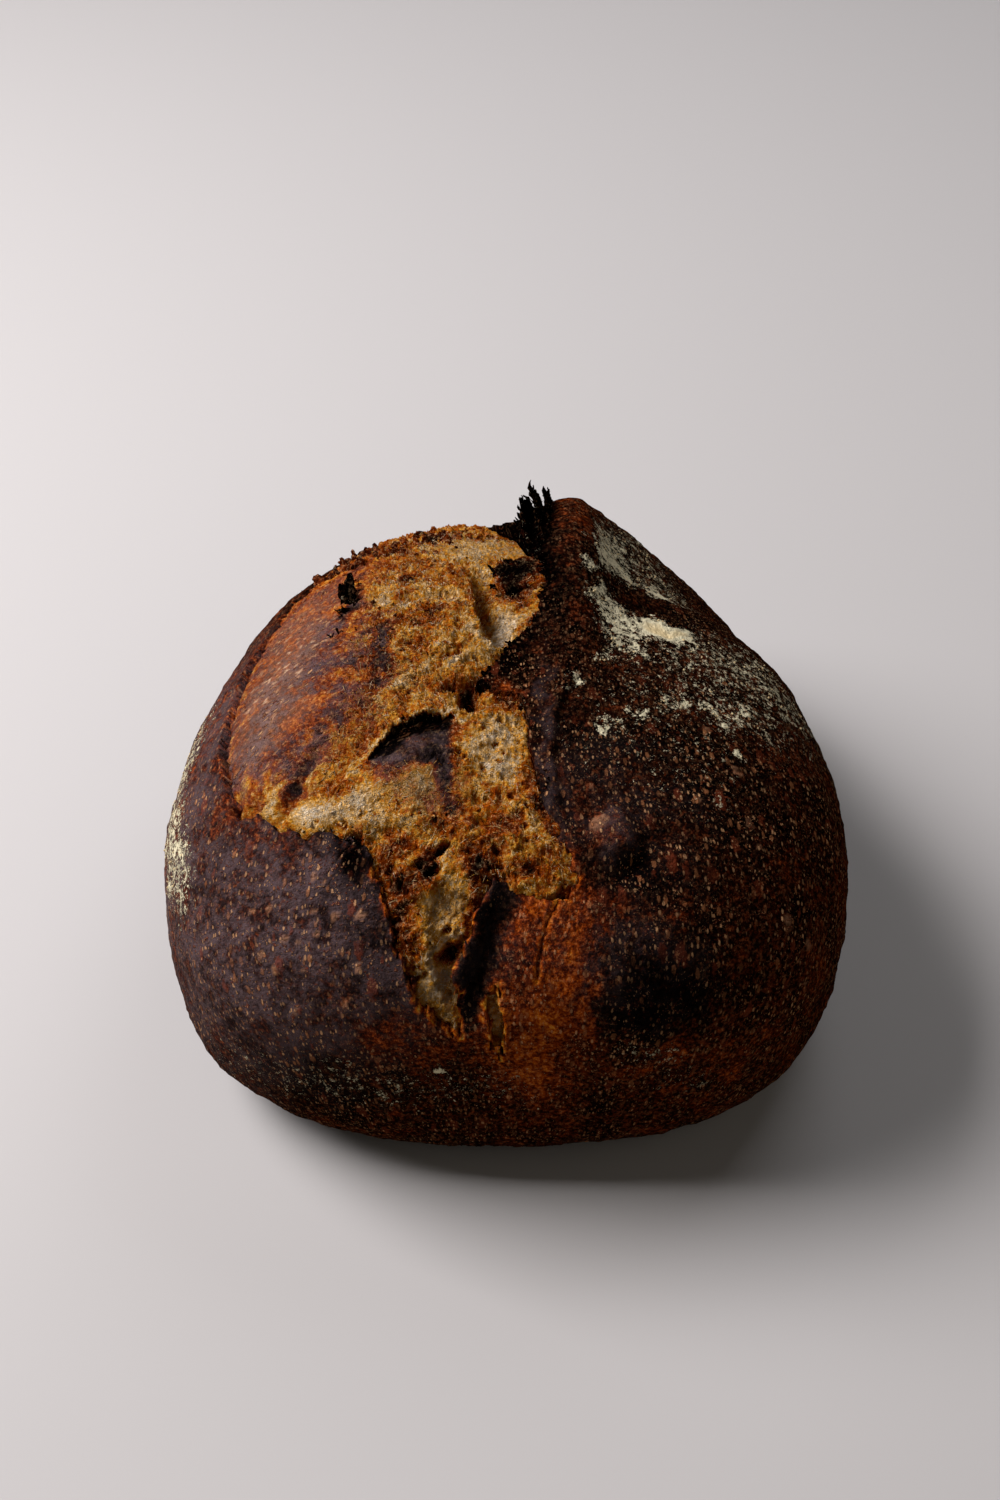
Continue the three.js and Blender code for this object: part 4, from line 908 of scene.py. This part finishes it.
# Flakes that stand off the loaf: rows of east, north, half spread east, half spread north, count,
# longest and widest in mm, rise in degrees, lean in degrees from east (None is any), bake
flakes = {
    "steps": 6, "sides": 6, "seed": 19, "thickness": 0.45,
    "fringe": [
        (17.6, 20, 1.2, 7, 16, 3, 2.6, 25, 190, 0.98), (18.6, 31, 1.2, 6, 18, 3.4, 3, 35, 180, 1.0),
        (16.6, 42, 1.4, 6, 18, 4.5, 3.4, 45, 180, 1.0), (11, 58, 4, 8, 30, 4, 3.4, 50, 20, 1.02),
        (12, 78, 4.5, 12, 40, 5, 4, 50, 10, 1.02), (12.6, 2, 2, 6, 10, 2.4, 2, 25, 160, 0.98),
        (4, -12, 4, 5, 16, 2.6, 2.4, 20, 150, 1.0), (-7, -28, 2.5, 3.5, 12, 2.6, 2.2, 15, 170, 1.0),
        (-51, -97, 3, 2, 8, 3, 2.6, 30, 60, 1.0), (8, -42, 2, 5, 8, 2, 1.6, 15, 190, 0.9),
        (14, -80, 2, 8, 8, 1.8, 1.4, 15, 190, 0.8),
    ],
    "charred": [
        (-4.5, 38, 1.5, 9, 16, 3.4, 3, 20, 190, 1.0), (2, 49.5, 4, 2.5, 8, 3.4, 3, 35, 150, 1.02),
        (6, 36, 5, 8, 16, 2.6, 2.4, 15, 240, 0.86), (-74.5, 38, 2, 6, 12, 9, 6, 62, 100, 0.98),
        (-75, 28, 2, 5, 8, 5, 4, 35, 250, 0.96), (-71, 33, 2, 4, 5, 5, 3.6, 40, 20, 0.95),
        (-76, 6, 4, 6, 6, 3, 2.2, 25, 90, 0.9), (-36, -48, 12, 1.5, 14, 2, 2.6, 10, 270, 1.0),
    ],
    "browned": [
        (-62, 66, 44, 16, 60, 2.6, 3.2, 25, 80, 0.6), (-62, 88, 46, 12, 80, 4.4, 5, 45, 90, 0.66),
        (-106, 66, 8, 20, 16, 2.4, 2, 25, 120, 0.54), (-20, 96, 22, 12, 36, 3.4, 4, 35, 90, 0.46),
        (-58, 5, 10, 26, 40, 2.6, 2.2, 18, None, 0.66), (-38, 45, 22, 26, 60, 2.6, 2.4, 16, None, 0.44),
        (-36, 0, 22, 24, 60, 2.4, 2.2, 16, None, 0.5), (-30, -92, 24, 8, 40, 2.2, 1.8, 18, None, 0.5),
        (8, -100, 12, 8, 24, 2, 1.8, 18, None, 0.52), (-60, -86, 20, 3, 30, 2.4, 2, 18, 270, 0.2),
        (-33, -125, 5, 22, 24, 2, 1.6, 18, 0, 0.5), (-16, -142, 2, 14, 14, 2, 1.6, 30, 180, 0.34),
    ],
}


# Flakes of crust and crumb: strips that rise from the surface at an angle, curl, narrow unevenly and end
# ragged, their rings jittered at random. Each row of the table scatters its own over an ellipse.
def flakePiece(name, rows, onBloom, material, seed):
    chance = np.random.default_rng(seed)
    steps, sides = flakes["steps"], flakes["sides"]
    table = np.repeat(np.array([[0 if v is None else v for v in row] for row in rows], float),
                      [row[4] for row in rows], axis=0)
    anyLean = np.repeat([row[8] is None for row in rows], [row[4] for row in rows])
    count = len(table)
    around, away = chance.uniform(0, 2 * np.pi, count), np.sqrt(chance.random(count))
    east = table[:, 0] + table[:, 2] * away * np.cos(around)
    north = table[:, 1] + table[:, 3] * away * np.sin(around)
    length = table[:, 5] * chance.uniform(0.35, 1, count)
    width = table[:, 6] * chance.uniform(0.35, 1, count)
    rise = np.radians(table[:, 7] + chance.normal(0, 14, count))
    lean = np.where(anyLean, chance.uniform(0, 360, count), table[:, 8] + chance.normal(0, 28, count))
    lean = np.radians(lean)
    t = np.linspace(0, 1, steps)
    curl = chance.normal(0.2, 0.6, count)[:, None]
    along = length[:, None] * np.sin(curl * t + 1e-6) / (curl + 1e-6)
    off = length[:, None] * (1 - np.cos(curl * t)) / (curl + 1e-6)
    flatRun = along * np.cos(rise)[:, None] - off * np.sin(rise)[:, None]
    upRun = along * np.sin(rise)[:, None] + off * np.cos(rise)[:, None]
    skin = bloomSkin if onBloom else crustSkin
    e = east[:, None] + 0.35 * flatRun * np.cos(lean)[:, None]
    n = north[:, None] + 0.35 * flatRun * np.sin(lean)[:, None]
    foot, _ = skin(east, north)
    normal = bodyNormal(east, north)
    towardEast = bodyPoint(east + 0.5, north) - bodyPoint(east - 0.5, north)
    towardNorth = bodyPoint(east, north + 0.5) - bodyPoint(east, north - 0.5)
    forward = towardEast * np.cos(lean)[:, None] + towardNorth * np.sin(lean)[:, None]
    forward /= np.maximum(np.linalg.norm(forward, axis=-1, keepdims=True), 1e-9)
    paths = foot[:, None] + forward[:, None] * flatRun[..., None] + normal[:, None] * (upRun - 0.5)[..., None]
    paths += chance.normal(0, 0.16, paths.shape) * t[:, None]
    flatness = normal[:, None] * np.cos(rise)[:, None, None] - forward[:, None] * np.sin(rise)[:, None, None]
    narrowing = 1 - 0.7 * t ** chance.uniform(2, 5, count)[:, None]
    widths = width[:, None] * narrowing * chance.uniform(0.5, 1.3, (count, steps))
    thick = flakes["thickness"] * (1 - 0.6 * t) * np.ones((count, 1))
    points, faces = sweptStrands(paths, flatness + 0 * paths, widths, thick, sides)
    points += chance.normal(0, 0.07, points.shape)
    tone = table[:, 9] + chance.normal(0, 0.05, count)
    attributes = looks(np.repeat(tone, steps * sides), torn=0.8 if onBloom else 0, speck=0.2)
    grain = np.stack([np.repeat(e.ravel(), sides), np.repeat(n.ravel(), sides)], -1)
    return makePiece(name, points, faces, attributes, grain, material)


# The charred edge of the ear: upright sheets along paths of east, north, height, one behind another
earSheets = {
    "steps": 170, "rings": 26, "thickness": 0.9, "lean": 0.2,
    "paths": [
        [
            (16, 40, 2), (13, 47, 5), (11.5, 56, 10), (11, 66, 14), (11.5, 76, 17), (12.5, 88, 13),
            (13.5, 100, 4),
        ],
        [(18, 42, 2), (17, 51, 7), (16, 62, 12), (16, 74, 18), (16.5, 86, 16), (17, 96, 7), (17.5, 104, 2)],
        [(20, 48, 2), (19.5, 58, 6), (19.5, 70, 11), (20, 82, 12), (21, 96, 3)],
    ],
}


# The ear's charred edge: for each path a thin sheet that stands up and leans west, bent by noise, whose top
# is torn ragged by ridged noise; a ring of corners runs up its one side and down the other.
def earSheetPiece(material):
    steps, rings = earSheets["steps"], earSheets["rings"]
    points, faces, tones, places = [], [], [], []
    for k, path in enumerate(earSheets["paths"]):
        rows = np.array(path, float)
        length = np.concatenate([[0], np.cumsum(np.hypot(*np.diff(rows[:, :2], axis=0).T))])
        u = np.linspace(0, length[-1], steps)
        east, north, high = (np.interp(u, length, rows[:, c]) for c in range(3))
        tips = 0.75 + 0.36 * clouds(u / 6, 0 * u, 151 + k, 4, 0.6) + 0.16 * threads(u / 2.2, 0 * u, 161 + k)
        high = high * np.clip(tips, 0.15, 1.08)
        v = np.linspace(0, 1, rings)
        up = np.concatenate([v, v[::-1]])
        side = np.concatenate([np.ones(rings), -np.ones(rings)])
        away, _ = np.meshgrid(u, up, indexing="ij")
        h = high[:, None] * up
        swing = 1.5 * clouds(away / 7, h / 7, 171 + k, 4, 0.6) - earSheets["lean"] * h * (0.4 + h / 20)
        thick = earSheets["thickness"] * (1 - 0.75 * up) * (1 + 0.6 * noise(away / 1.6, h / 1.6, 181 + k))
        across = swing + side * thick / 2
        foot, _ = crustSkin(east, north)
        westward = bodyPoint(east - 0.5, north) - bodyPoint(east + 0.5, north)
        westward[:, 2] = 0
        westward /= np.linalg.norm(westward, axis=-1, keepdims=True)
        point = foot[:, None] - westward[:, None] * across[..., None]
        point[..., 2] += h - 1.5
        point[..., 1] += 0.8 * clouds(away / 4, h / 4, 191 + k, 3)
        first = sum(len(p) for p in points)
        index = np.arange(steps * 2 * rings).reshape(steps, 2 * rings) + first
        turned = np.roll(index, -1, 1)
        faces.append(np.stack([index[:-1], index[1:], turned[1:], turned[:-1]], -1).reshape(-1, 4))
        faces.append(index[:1])
        faces.append(index[-1:, ::-1])
        points.append(point.reshape(-1, 3))
        tones.append((1.0 - 0.22 * smooth(0.2, 0.9, clouds(away / 6, h / 6, 201 + k, 3))).ravel())
        places.append(np.stack([away + 0 * h, h + 40 * k], -1).reshape(-1, 2))
    points, tones, grain = (np.concatenate(part) for part in (points, tones, places))
    return makePiece("ear_sheets", points, faces, looks(tones, speck=0.2), grain, material)


grains = {"tries": 52000, "seed": 31, "sizes": (0.22, 0.6), "east": (-150, 150), "north": (-190, 112)}


# Grains of flour: eight-sided clumps at random places, more of them where the flour value is high and where
# a slow noise gathers them, sunk a little into the crust.
def flourPiece(material):
    chance = np.random.default_rng(grains["seed"])
    east = chance.uniform(*grains["east"], grains["tries"])
    north = chance.uniform(*grains["north"], grains["tries"])
    point, near = crustSkin(east, north)
    gathered = smooth(-0.1, 0.6, clouds(east / 7, north / 7, 141, 3))
    share = np.clip((near["flour"] - 0.16) * 0.5, 0, 0.3) * (0.25 + 1.6 * gathered) * (near["flour"] < 0.75)
    kept = (chance.random(len(east)) < share) & (lipOf(east, north, False)["signed"] < -2) & (point[:, 2] > 2)
    east, north, point = east[kept], north[kept], point[kept]
    count = len(east)
    smallest, largest = grains["sizes"]
    size = smallest + (largest - smallest) * chance.random(count) ** 3
    axes = np.array([(1, 0, 0), (0, 1, 0), (-1, 0, 0), (0, -1, 0), (0, 0, 1), (0, 0, -1)], float)
    corner = axes * size[:, None, None] * chance.uniform(0.6, 1.2, (count, 6, 1))
    points = (point + bodyNormal(east, north) * 0.1)[:, None] + corner
    upper, lower = [(0, 1, 4), (1, 2, 4), (2, 3, 4), (3, 0, 4)], [(1, 0, 5), (2, 1, 5), (3, 2, 5), (0, 3, 5)]
    pattern = np.array(upper + lower)
    faces = (np.arange(count)[:, None, None] * 6 + pattern).reshape(-1, 3)
    attributes = looks(np.full(count * 6, 0.5), flour=3)
    grain = np.repeat(np.stack([east, north], -1), 6, axis=0)
    return makePiece("flour_grains", points.reshape(-1, 3), [faces], attributes, grain, material)


# An sRGB hex colour as linear red, green, blue and alpha: a straight foot, then a power of 2.4.
def linear(hexColour):
    parts = np.array([int(hexColour[k:k + 2], 16) for k in (1, 3, 5)]) / 255
    bent = np.where(parts <= 0.04045, parts / 12.92, ((parts + 0.055) / 1.055) ** 2.4)
    return (*bent.tolist(), 1.0)


# Adds a node of a type with its settings, and sets or links its inputs by name or number.
def addNode(tree, kind, inputs=None, **settings):
    node = tree.nodes.new(kind)
    for key, value in settings.items():
        setattr(node, key, value)
    for key, value in (inputs or {}).items():
        if isinstance(value, bpy.types.NodeSocket):
            tree.links.new(value, node.inputs[key])
        else:
            node.inputs[key].default_value = value
    return node


bakedDough = {
    # the colours from pale crumb to char, by how strongly it is baked
    "ramp": [
        (0.0, "#ead6b8"), (0.13, "#e3bb80"), (0.28, "#d2922a"), (0.42, "#b45c10"), (0.55, "#883606"),
        (0.67, "#4e1904"), (0.8, "#1d0803"), (0.92, "#090302"), (1.0, "#020101"),
    ],
    # the skin's purple-brown tone, partly its own colour and partly painted sheen, its specks, the tops of
    # single blisters, and the streaks of the stretched skin
    "plumAndSheen": "#64504f", "speckDark": "#70301a", "speckMid": "#965f3a", "speckPale": "#c49264",
    "tan": "#ad7b58", "streak": "#d6b795",
    # the crumb's pale threads, brightened further as painted glints, and thin and thick flour
    "threadAndGlint": "#f6d296", "flour": "#e6d9b0", "thickFlour": "#e6cd98",
    # bands of round specks: size of a cell in mm, largest radius as a share of it, strength, colour
    "roundSpecks": [
        (7.0, 0.3, 0.55, "speckDark"), (2.7, 0.34, 0.65, "speckMid"), (1.4, 0.36, 0.7, "speckPale"),
    ],
    # noises: size in mm, detail, roughness
    "slow": (14, 3), "mid": (3.6, 4, 0.7), "fine": (1.5, 3, 0.7), "grit": (1.3, 3, 0.65),
    "smallGrit": (0.65, 2, 0.6), "powder": (0.65, 4, 0.75), "clump": (2.4, 4, 0.7),
    # how far each noise moves a place on the ramp, on calm and torn crumb too, and what threads take off it
    "start": -0.09, "slowShare": 0.3, "midShare": 0.42, "fineShare": 0.8, "tornFine": -0.3,
    "calmShare": -0.75, "threadShare": -0.13, "tornShare": -0.02,
    # how high fine noise, mid noise, threads and flour stand, in mm
    "bumps": (1.3, 0.9, 0.7, 0.5),
    # curly threads of crumb: size in mm, twist, width; the second is weaker
    "curls": [(2.2, 1.4, 0.07), (1.1, 1.2, 0.09)], "secondCurl": 0.8,
    "flourCover": 0.92, "roughness": 0.45, "flourRoughness": 0.45, "plumAndSheenGloss": 0.008,
}


# Baked sourdough: a matt, finely blistered and speckled crust that turns to threaded torn crumb. Reads each
# piece's attributes for bake, tear, flour, specks, purple-brown tone with painted sheen, and calm, its grain
# map and Object coordinates.
def bakedDoughMaterial():
    material = bpy.data.materials.new("bakedSourdough")
    material.use_nodes = True
    tree = material.node_tree
    tree.nodes.clear()

    # one operation on numbers
    def math2(operation, *values):
        return addNode(tree, "ShaderNodeMath", dict(enumerate(values)), operation=operation).outputs[0]

    # from low to high as the value goes from start to end, and held beyond them
    def spread(value, start, end, low=0.0, high=1.0):
        return addNode(tree, "ShaderNodeMapRange", {0: value, 1: start, 2: end, 3: low, 4: high}).outputs[0]

    # a colour with a share of another mixed in
    def blend(share, colour, other):
        return addNode(tree, "ShaderNodeMix", {0: share, 6: colour, 7: other}, data_type="RGBA").outputs[2]

    place = addNode(tree, "ShaderNodeTexCoord").outputs["Object"]
    grain = addNode(tree, "ShaderNodeUVMap", uv_map="grain").outputs["UV"]
    bake, torn, flour, speck, plumAndSheen, calm = (
        addNode(tree, "ShaderNodeAttribute", attribute_name=name).outputs["Fac"]
        for name in ("bake", "torn", "flour", "speck", "plumAndSheen", "calm")
    )

    # cloud noise of a size in mm, from 0 to 1
    def cloudy(size, detail, roughness=0.6, curl=0.0):
        inputs = {"Vector": place, "Scale": 1000 / size, "Detail": detail, "Roughness": roughness}
        inputs["Distortion"] = curl
        return addNode(tree, "ShaderNodeTexNoise", inputs).outputs["Fac"]

    slow, mid, fine, powder, clump = (
        cloudy(*bakedDough[key]) for key in ("slow", "mid", "fine", "powder", "clump")
    )

    # curly threads: bright where a twisted fine noise crosses its middle
    def curly(size, curl, widest):
        crossing = math2("ABSOLUTE", math2("SUBTRACT", cloudy(size, 1, 0.5, curl), 0.5))
        return spread(crossing, 0.0, widest, 1.0, 0.0)

    wideCurls, thinCurls = (curly(*row) for row in bakedDough["curls"])
    threads = math2("MAXIMUM", wideCurls, math2("MULTIPLY", thinCurls, bakedDough["secondCurl"]))
    unburnt = spread(bake, 0.95, 0.6)
    hairShare = math2("MULTIPLY", math2("MULTIPLY", threads, math2("MULTIPLY_ADD", torn, 0.8, 0.15)), unburnt)

    # place on the ramp: bake plus noise at three sizes, weaker on calm crumb and lighter on the threads
    midOff = math2("SUBTRACT", mid, 0.5)
    fineOff = math2("SUBTRACT", fine, 0.5)
    total = math2("MULTIPLY_ADD", slow, bakedDough["slowShare"], math2("ADD", bake, bakedDough["start"]))
    lively = math2("MULTIPLY_ADD", calm, bakedDough["calmShare"], 1.0)
    total = math2("MULTIPLY_ADD", midOff, math2("MULTIPLY", lively, bakedDough["midShare"]), total)
    fineShare = math2("MULTIPLY_ADD", torn, bakedDough["tornFine"], bakedDough["fineShare"])
    total = math2("MULTIPLY_ADD", fineOff, math2("MULTIPLY", lively, fineShare), total)
    total = math2("MULTIPLY_ADD", torn, bakedDough["tornShare"], total)
    total = math2("MULTIPLY_ADD", hairShare, bakedDough["threadShare"], total)
    ramp = addNode(tree, "ShaderNodeValToRGB", {"Fac": total})
    stops = ramp.color_ramp.elements
    for position, colour in bakedDough["ramp"][1:-1]:
        stops.new(position)
    for stop, (position, colour) in zip(stops, bakedDough["ramp"]):
        stop.position, stop.color = position, linear(colour)
    colour = ramp.outputs["Color"]

    # pale threads mixed in, partly their own colour and partly painted glints on the glossy strands
    threadShare = math2("MULTIPLY", math2("MULTIPLY", hairShare, spread(fineOff, 0.0, -0.1)), 0.48)
    colour = blend(threadShare, colour, linear(bakedDough["threadAndGlint"]))

    # purple-brown tone on the thin skin, partly its own colour and partly painted sheen, uneven over a
    # centimetre
    unevenPlumAndSheen = math2("MULTIPLY", plumAndSheen, spread(math2("ADD", slow, midOff), 0.38, 0.62, 0.12, 1.0))
    plumAndSheenShare = math2("MULTIPLY", unevenPlumAndSheen, spread(bake, 1.0, 0.8, 0.04, 0.8))
    colour = blend(plumAndSheenShare, colour, linear(bakedDough["plumAndSheen"]))

    # a speck value above 1.5 is the tan top of a blister, and above 3 a pale streak
    colour = blend(spread(speck, 1.5, 3.0, 0.0, 0.75), colour, linear(bakedDough["tan"]))
    colour = blend(spread(speck, 3.0, 5.0, 0.0, 0.7), colour, linear(bakedDough["streak"]))

    # specks below that: ragged grit at two sizes, and round cells drawn long with the grain
    speck = math2("MINIMUM", speck, 1.2)
    speckShare = math2("MULTIPLY", speck, spread(slow, 0.38, 0.6, 0.15, 1.0))

    # grit: where noise passes a limit, as strong as the specks are there
    def gritty(key, start, end, strength):
        grit = math2("MULTIPLY_ADD", midOff, 0.5, cloudy(*bakedDough[key]))
        return math2("MULTIPLY", spread(grit, start, end), math2("MULTIPLY", speckShare, strength))

    gritShare, smallShare = gritty("grit", 0.58, 0.68, 0.7), gritty("smallGrit", 0.66, 0.72, 0.8)
    colour = blend(gritShare, colour, linear(bakedDough["speckDark"]))
    colour = blend(smallShare, colour, linear(bakedDough["speckPale"]))
    relief = math2("MAXIMUM", gritShare, smallShare)
    for size, widest, strength, tone in bakedDough["roundSpecks"]:
        cell = addNode(tree, "ShaderNodeTexVoronoi", {"Vector": grain, "Scale": 1000 / size},
                       voronoi_dimensions="2D")
        own = addNode(tree, "ShaderNodeSeparateColor", {0: cell.outputs["Color"]}).outputs[0]
        radius = math2("MULTIPLY", math2("POWER", own, 2.8), widest)
        ragged = math2("MULTIPLY_ADD", fineOff, 0.5, cell.outputs["Distance"])
        mask = spread(math2("SUBTRACT", radius, ragged), -0.02, 0.06, 0.0, strength)
        mask = math2("MULTIPLY", mask, speckShare)
        colour = blend(mask, colour, linear(bakedDough[tone]))
        relief = math2("MAXIMUM", relief, mask)

    # flour: powder that covers where the flour value beats a grainy noise, yellower where it lies thick
    level = math2("ADD", flour, math2("MULTIPLY_ADD", clump, 2.8, -1.4))
    dusty = math2("ADD", powder, math2("MULTIPLY_ADD", level, 0.42, -0.7))
    flourShare = spread(dusty, 0.0, 0.07, 0.0, bakedDough["flourCover"])
    powderTone = blend(spread(flour, 1.0, 1.4), *(linear(bakedDough[key]) for key in ("flour", "thickFlour")))
    colour = blend(flourShare, colour, powderTone)

    # rougher under flour, and a trace of gloss only where the purple-brown tone with its painted sheen lies
    rough = math2("MULTIPLY_ADD", flourShare, bakedDough["flourRoughness"], bakedDough["roughness"])
    gloss = math2("MULTIPLY", plumAndSheen, bakedDough["plumAndSheenGloss"])

    # fine relief: specks stand up, the crust is pitted under a millimetre, and crumb is threaded
    for part, height in zip((fine, mid, hairShare, flourShare), bakedDough["bumps"]):
        relief = math2("MULTIPLY_ADD", part, height, relief)
    bump = addNode(tree, "ShaderNodeBump", {"Height": relief, "Strength": 1.0, "Distance": 0.001})
    shader = addNode(tree, "ShaderNodeBsdfPrincipled", {
        "Base Color": colour, "Roughness": rough, "Specular IOR Level": gloss, "Normal": bump.outputs[0],
    })
    addNode(tree, "ShaderNodeOutputMaterial", {"Surface": shader.outputs[0]})
    return material


stage = {"floorSize": 6.0, "floorColour": "#bdb8b0", "worldColour": "#c2c6cf", "worldStrength": 0.06}
lights = [
    {"name": "window", "at": (-0.95, 0.2, 1.1), "size": 0.8, "power": 35.0, "colour": "#f6f5ff"},
    {"name": "back", "at": (0.45, 0.75, 1.1), "size": 0.8, "power": 4.5, "colour": "#eef1ff"},
    {"name": "fill", "at": (0.9, -0.9, 1.1), "size": 1.4, "power": 2.0, "colour": "#fff3e6"},
]
lampAim = 0.06  # the height in metres that every light points at
view = {
    "pitch": 46.0, "away": 752.7, "aim": (0, 0, 58), "pixel": (506.3, 796.7), "middle": (500, 750),
    "lens": 50.0, "sensor": 36.0, "pixelFocus": 2083.33,
}


# The floor, the lights and the camera. The camera stands back from the aim along the ray through its pixel.
def setStage():
    mesh = bpy.data.meshes.new("floor")
    h = stage["floorSize"] / 2
    mesh.from_pydata([(-h, -h, 0), (h, -h, 0), (h, h, 0), (-h, h, 0)], [], [(0, 1, 2, 3)])
    floor = bpy.data.objects.new("floor", mesh)
    bpy.context.collection.objects.link(floor)
    paper = bpy.data.materials.new("studioPaper")
    paper.use_nodes = True
    shader = paper.node_tree.nodes["Principled BSDF"]
    shader.inputs["Base Color"].default_value = linear(stage["floorColour"])
    shader.inputs["Roughness"].default_value = 0.9
    mesh.materials.append(paper)
    world = bpy.data.worlds.new("studio")
    world.use_nodes = True
    world.node_tree.nodes["Background"].inputs[0].default_value = linear(stage["worldColour"])
    world.node_tree.nodes["Background"].inputs[1].default_value = stage["worldStrength"]
    bpy.context.scene.world = world
    for row in lights:
        data = bpy.data.lights.new(row["name"], "AREA")
        data.size, data.energy, data.color = row["size"], row["power"], linear(row["colour"])[:3]
        lamp = bpy.data.objects.new(row["name"], data)
        at = np.array(row["at"])
        lamp.location = at
        flat = math.hypot(at[0], at[1])
        lamp.rotation_euler = (math.atan2(flat, at[2] - lampAim), 0, math.atan2(at[1], at[0]) + math.pi / 2)
        bpy.context.collection.objects.link(lamp)
    pitch = math.radians(view["pitch"])
    forward = np.array([0, math.cos(pitch), -math.sin(pitch)])
    up = np.array([0, math.sin(pitch), math.cos(pitch)])
    right, down = np.array(view["pixel"]) - view["middle"]
    ray = forward * view["pixelFocus"] + np.array([1, 0, 0]) * right - up * down
    eye = np.array(view["aim"]) - ray / np.linalg.norm(ray) * view["away"] + shiftToFrame
    data = bpy.data.cameras.new("camera")
    data.lens, data.sensor_width, data.sensor_fit = view["lens"], view["sensor"], "AUTO"
    camera = bpy.data.objects.new("camera", data)
    camera.location = eye * mmToM
    camera.rotation_euler = (math.pi / 2 - pitch, 0, 0)
    bpy.context.collection.objects.link(camera)
    bpy.context.scene.camera = camera
    bpy.context.scene.view_settings.view_transform = "Standard"


dough = bakedDoughMaterial()
crustPiece(dough)
bloomPiece(dough)
fibrePiece(dough)
flakePiece("ear_fringe", flakes["fringe"], False, dough, flakes["seed"])
earSheetPiece(dough)
flakePiece("charred_flakes", flakes["charred"], True, dough, flakes["seed"] + 1)
flakePiece("browned_flakes", flakes["browned"], True, dough, flakes["seed"] + 2)
flourPiece(dough)
setStage()
print("stage set")
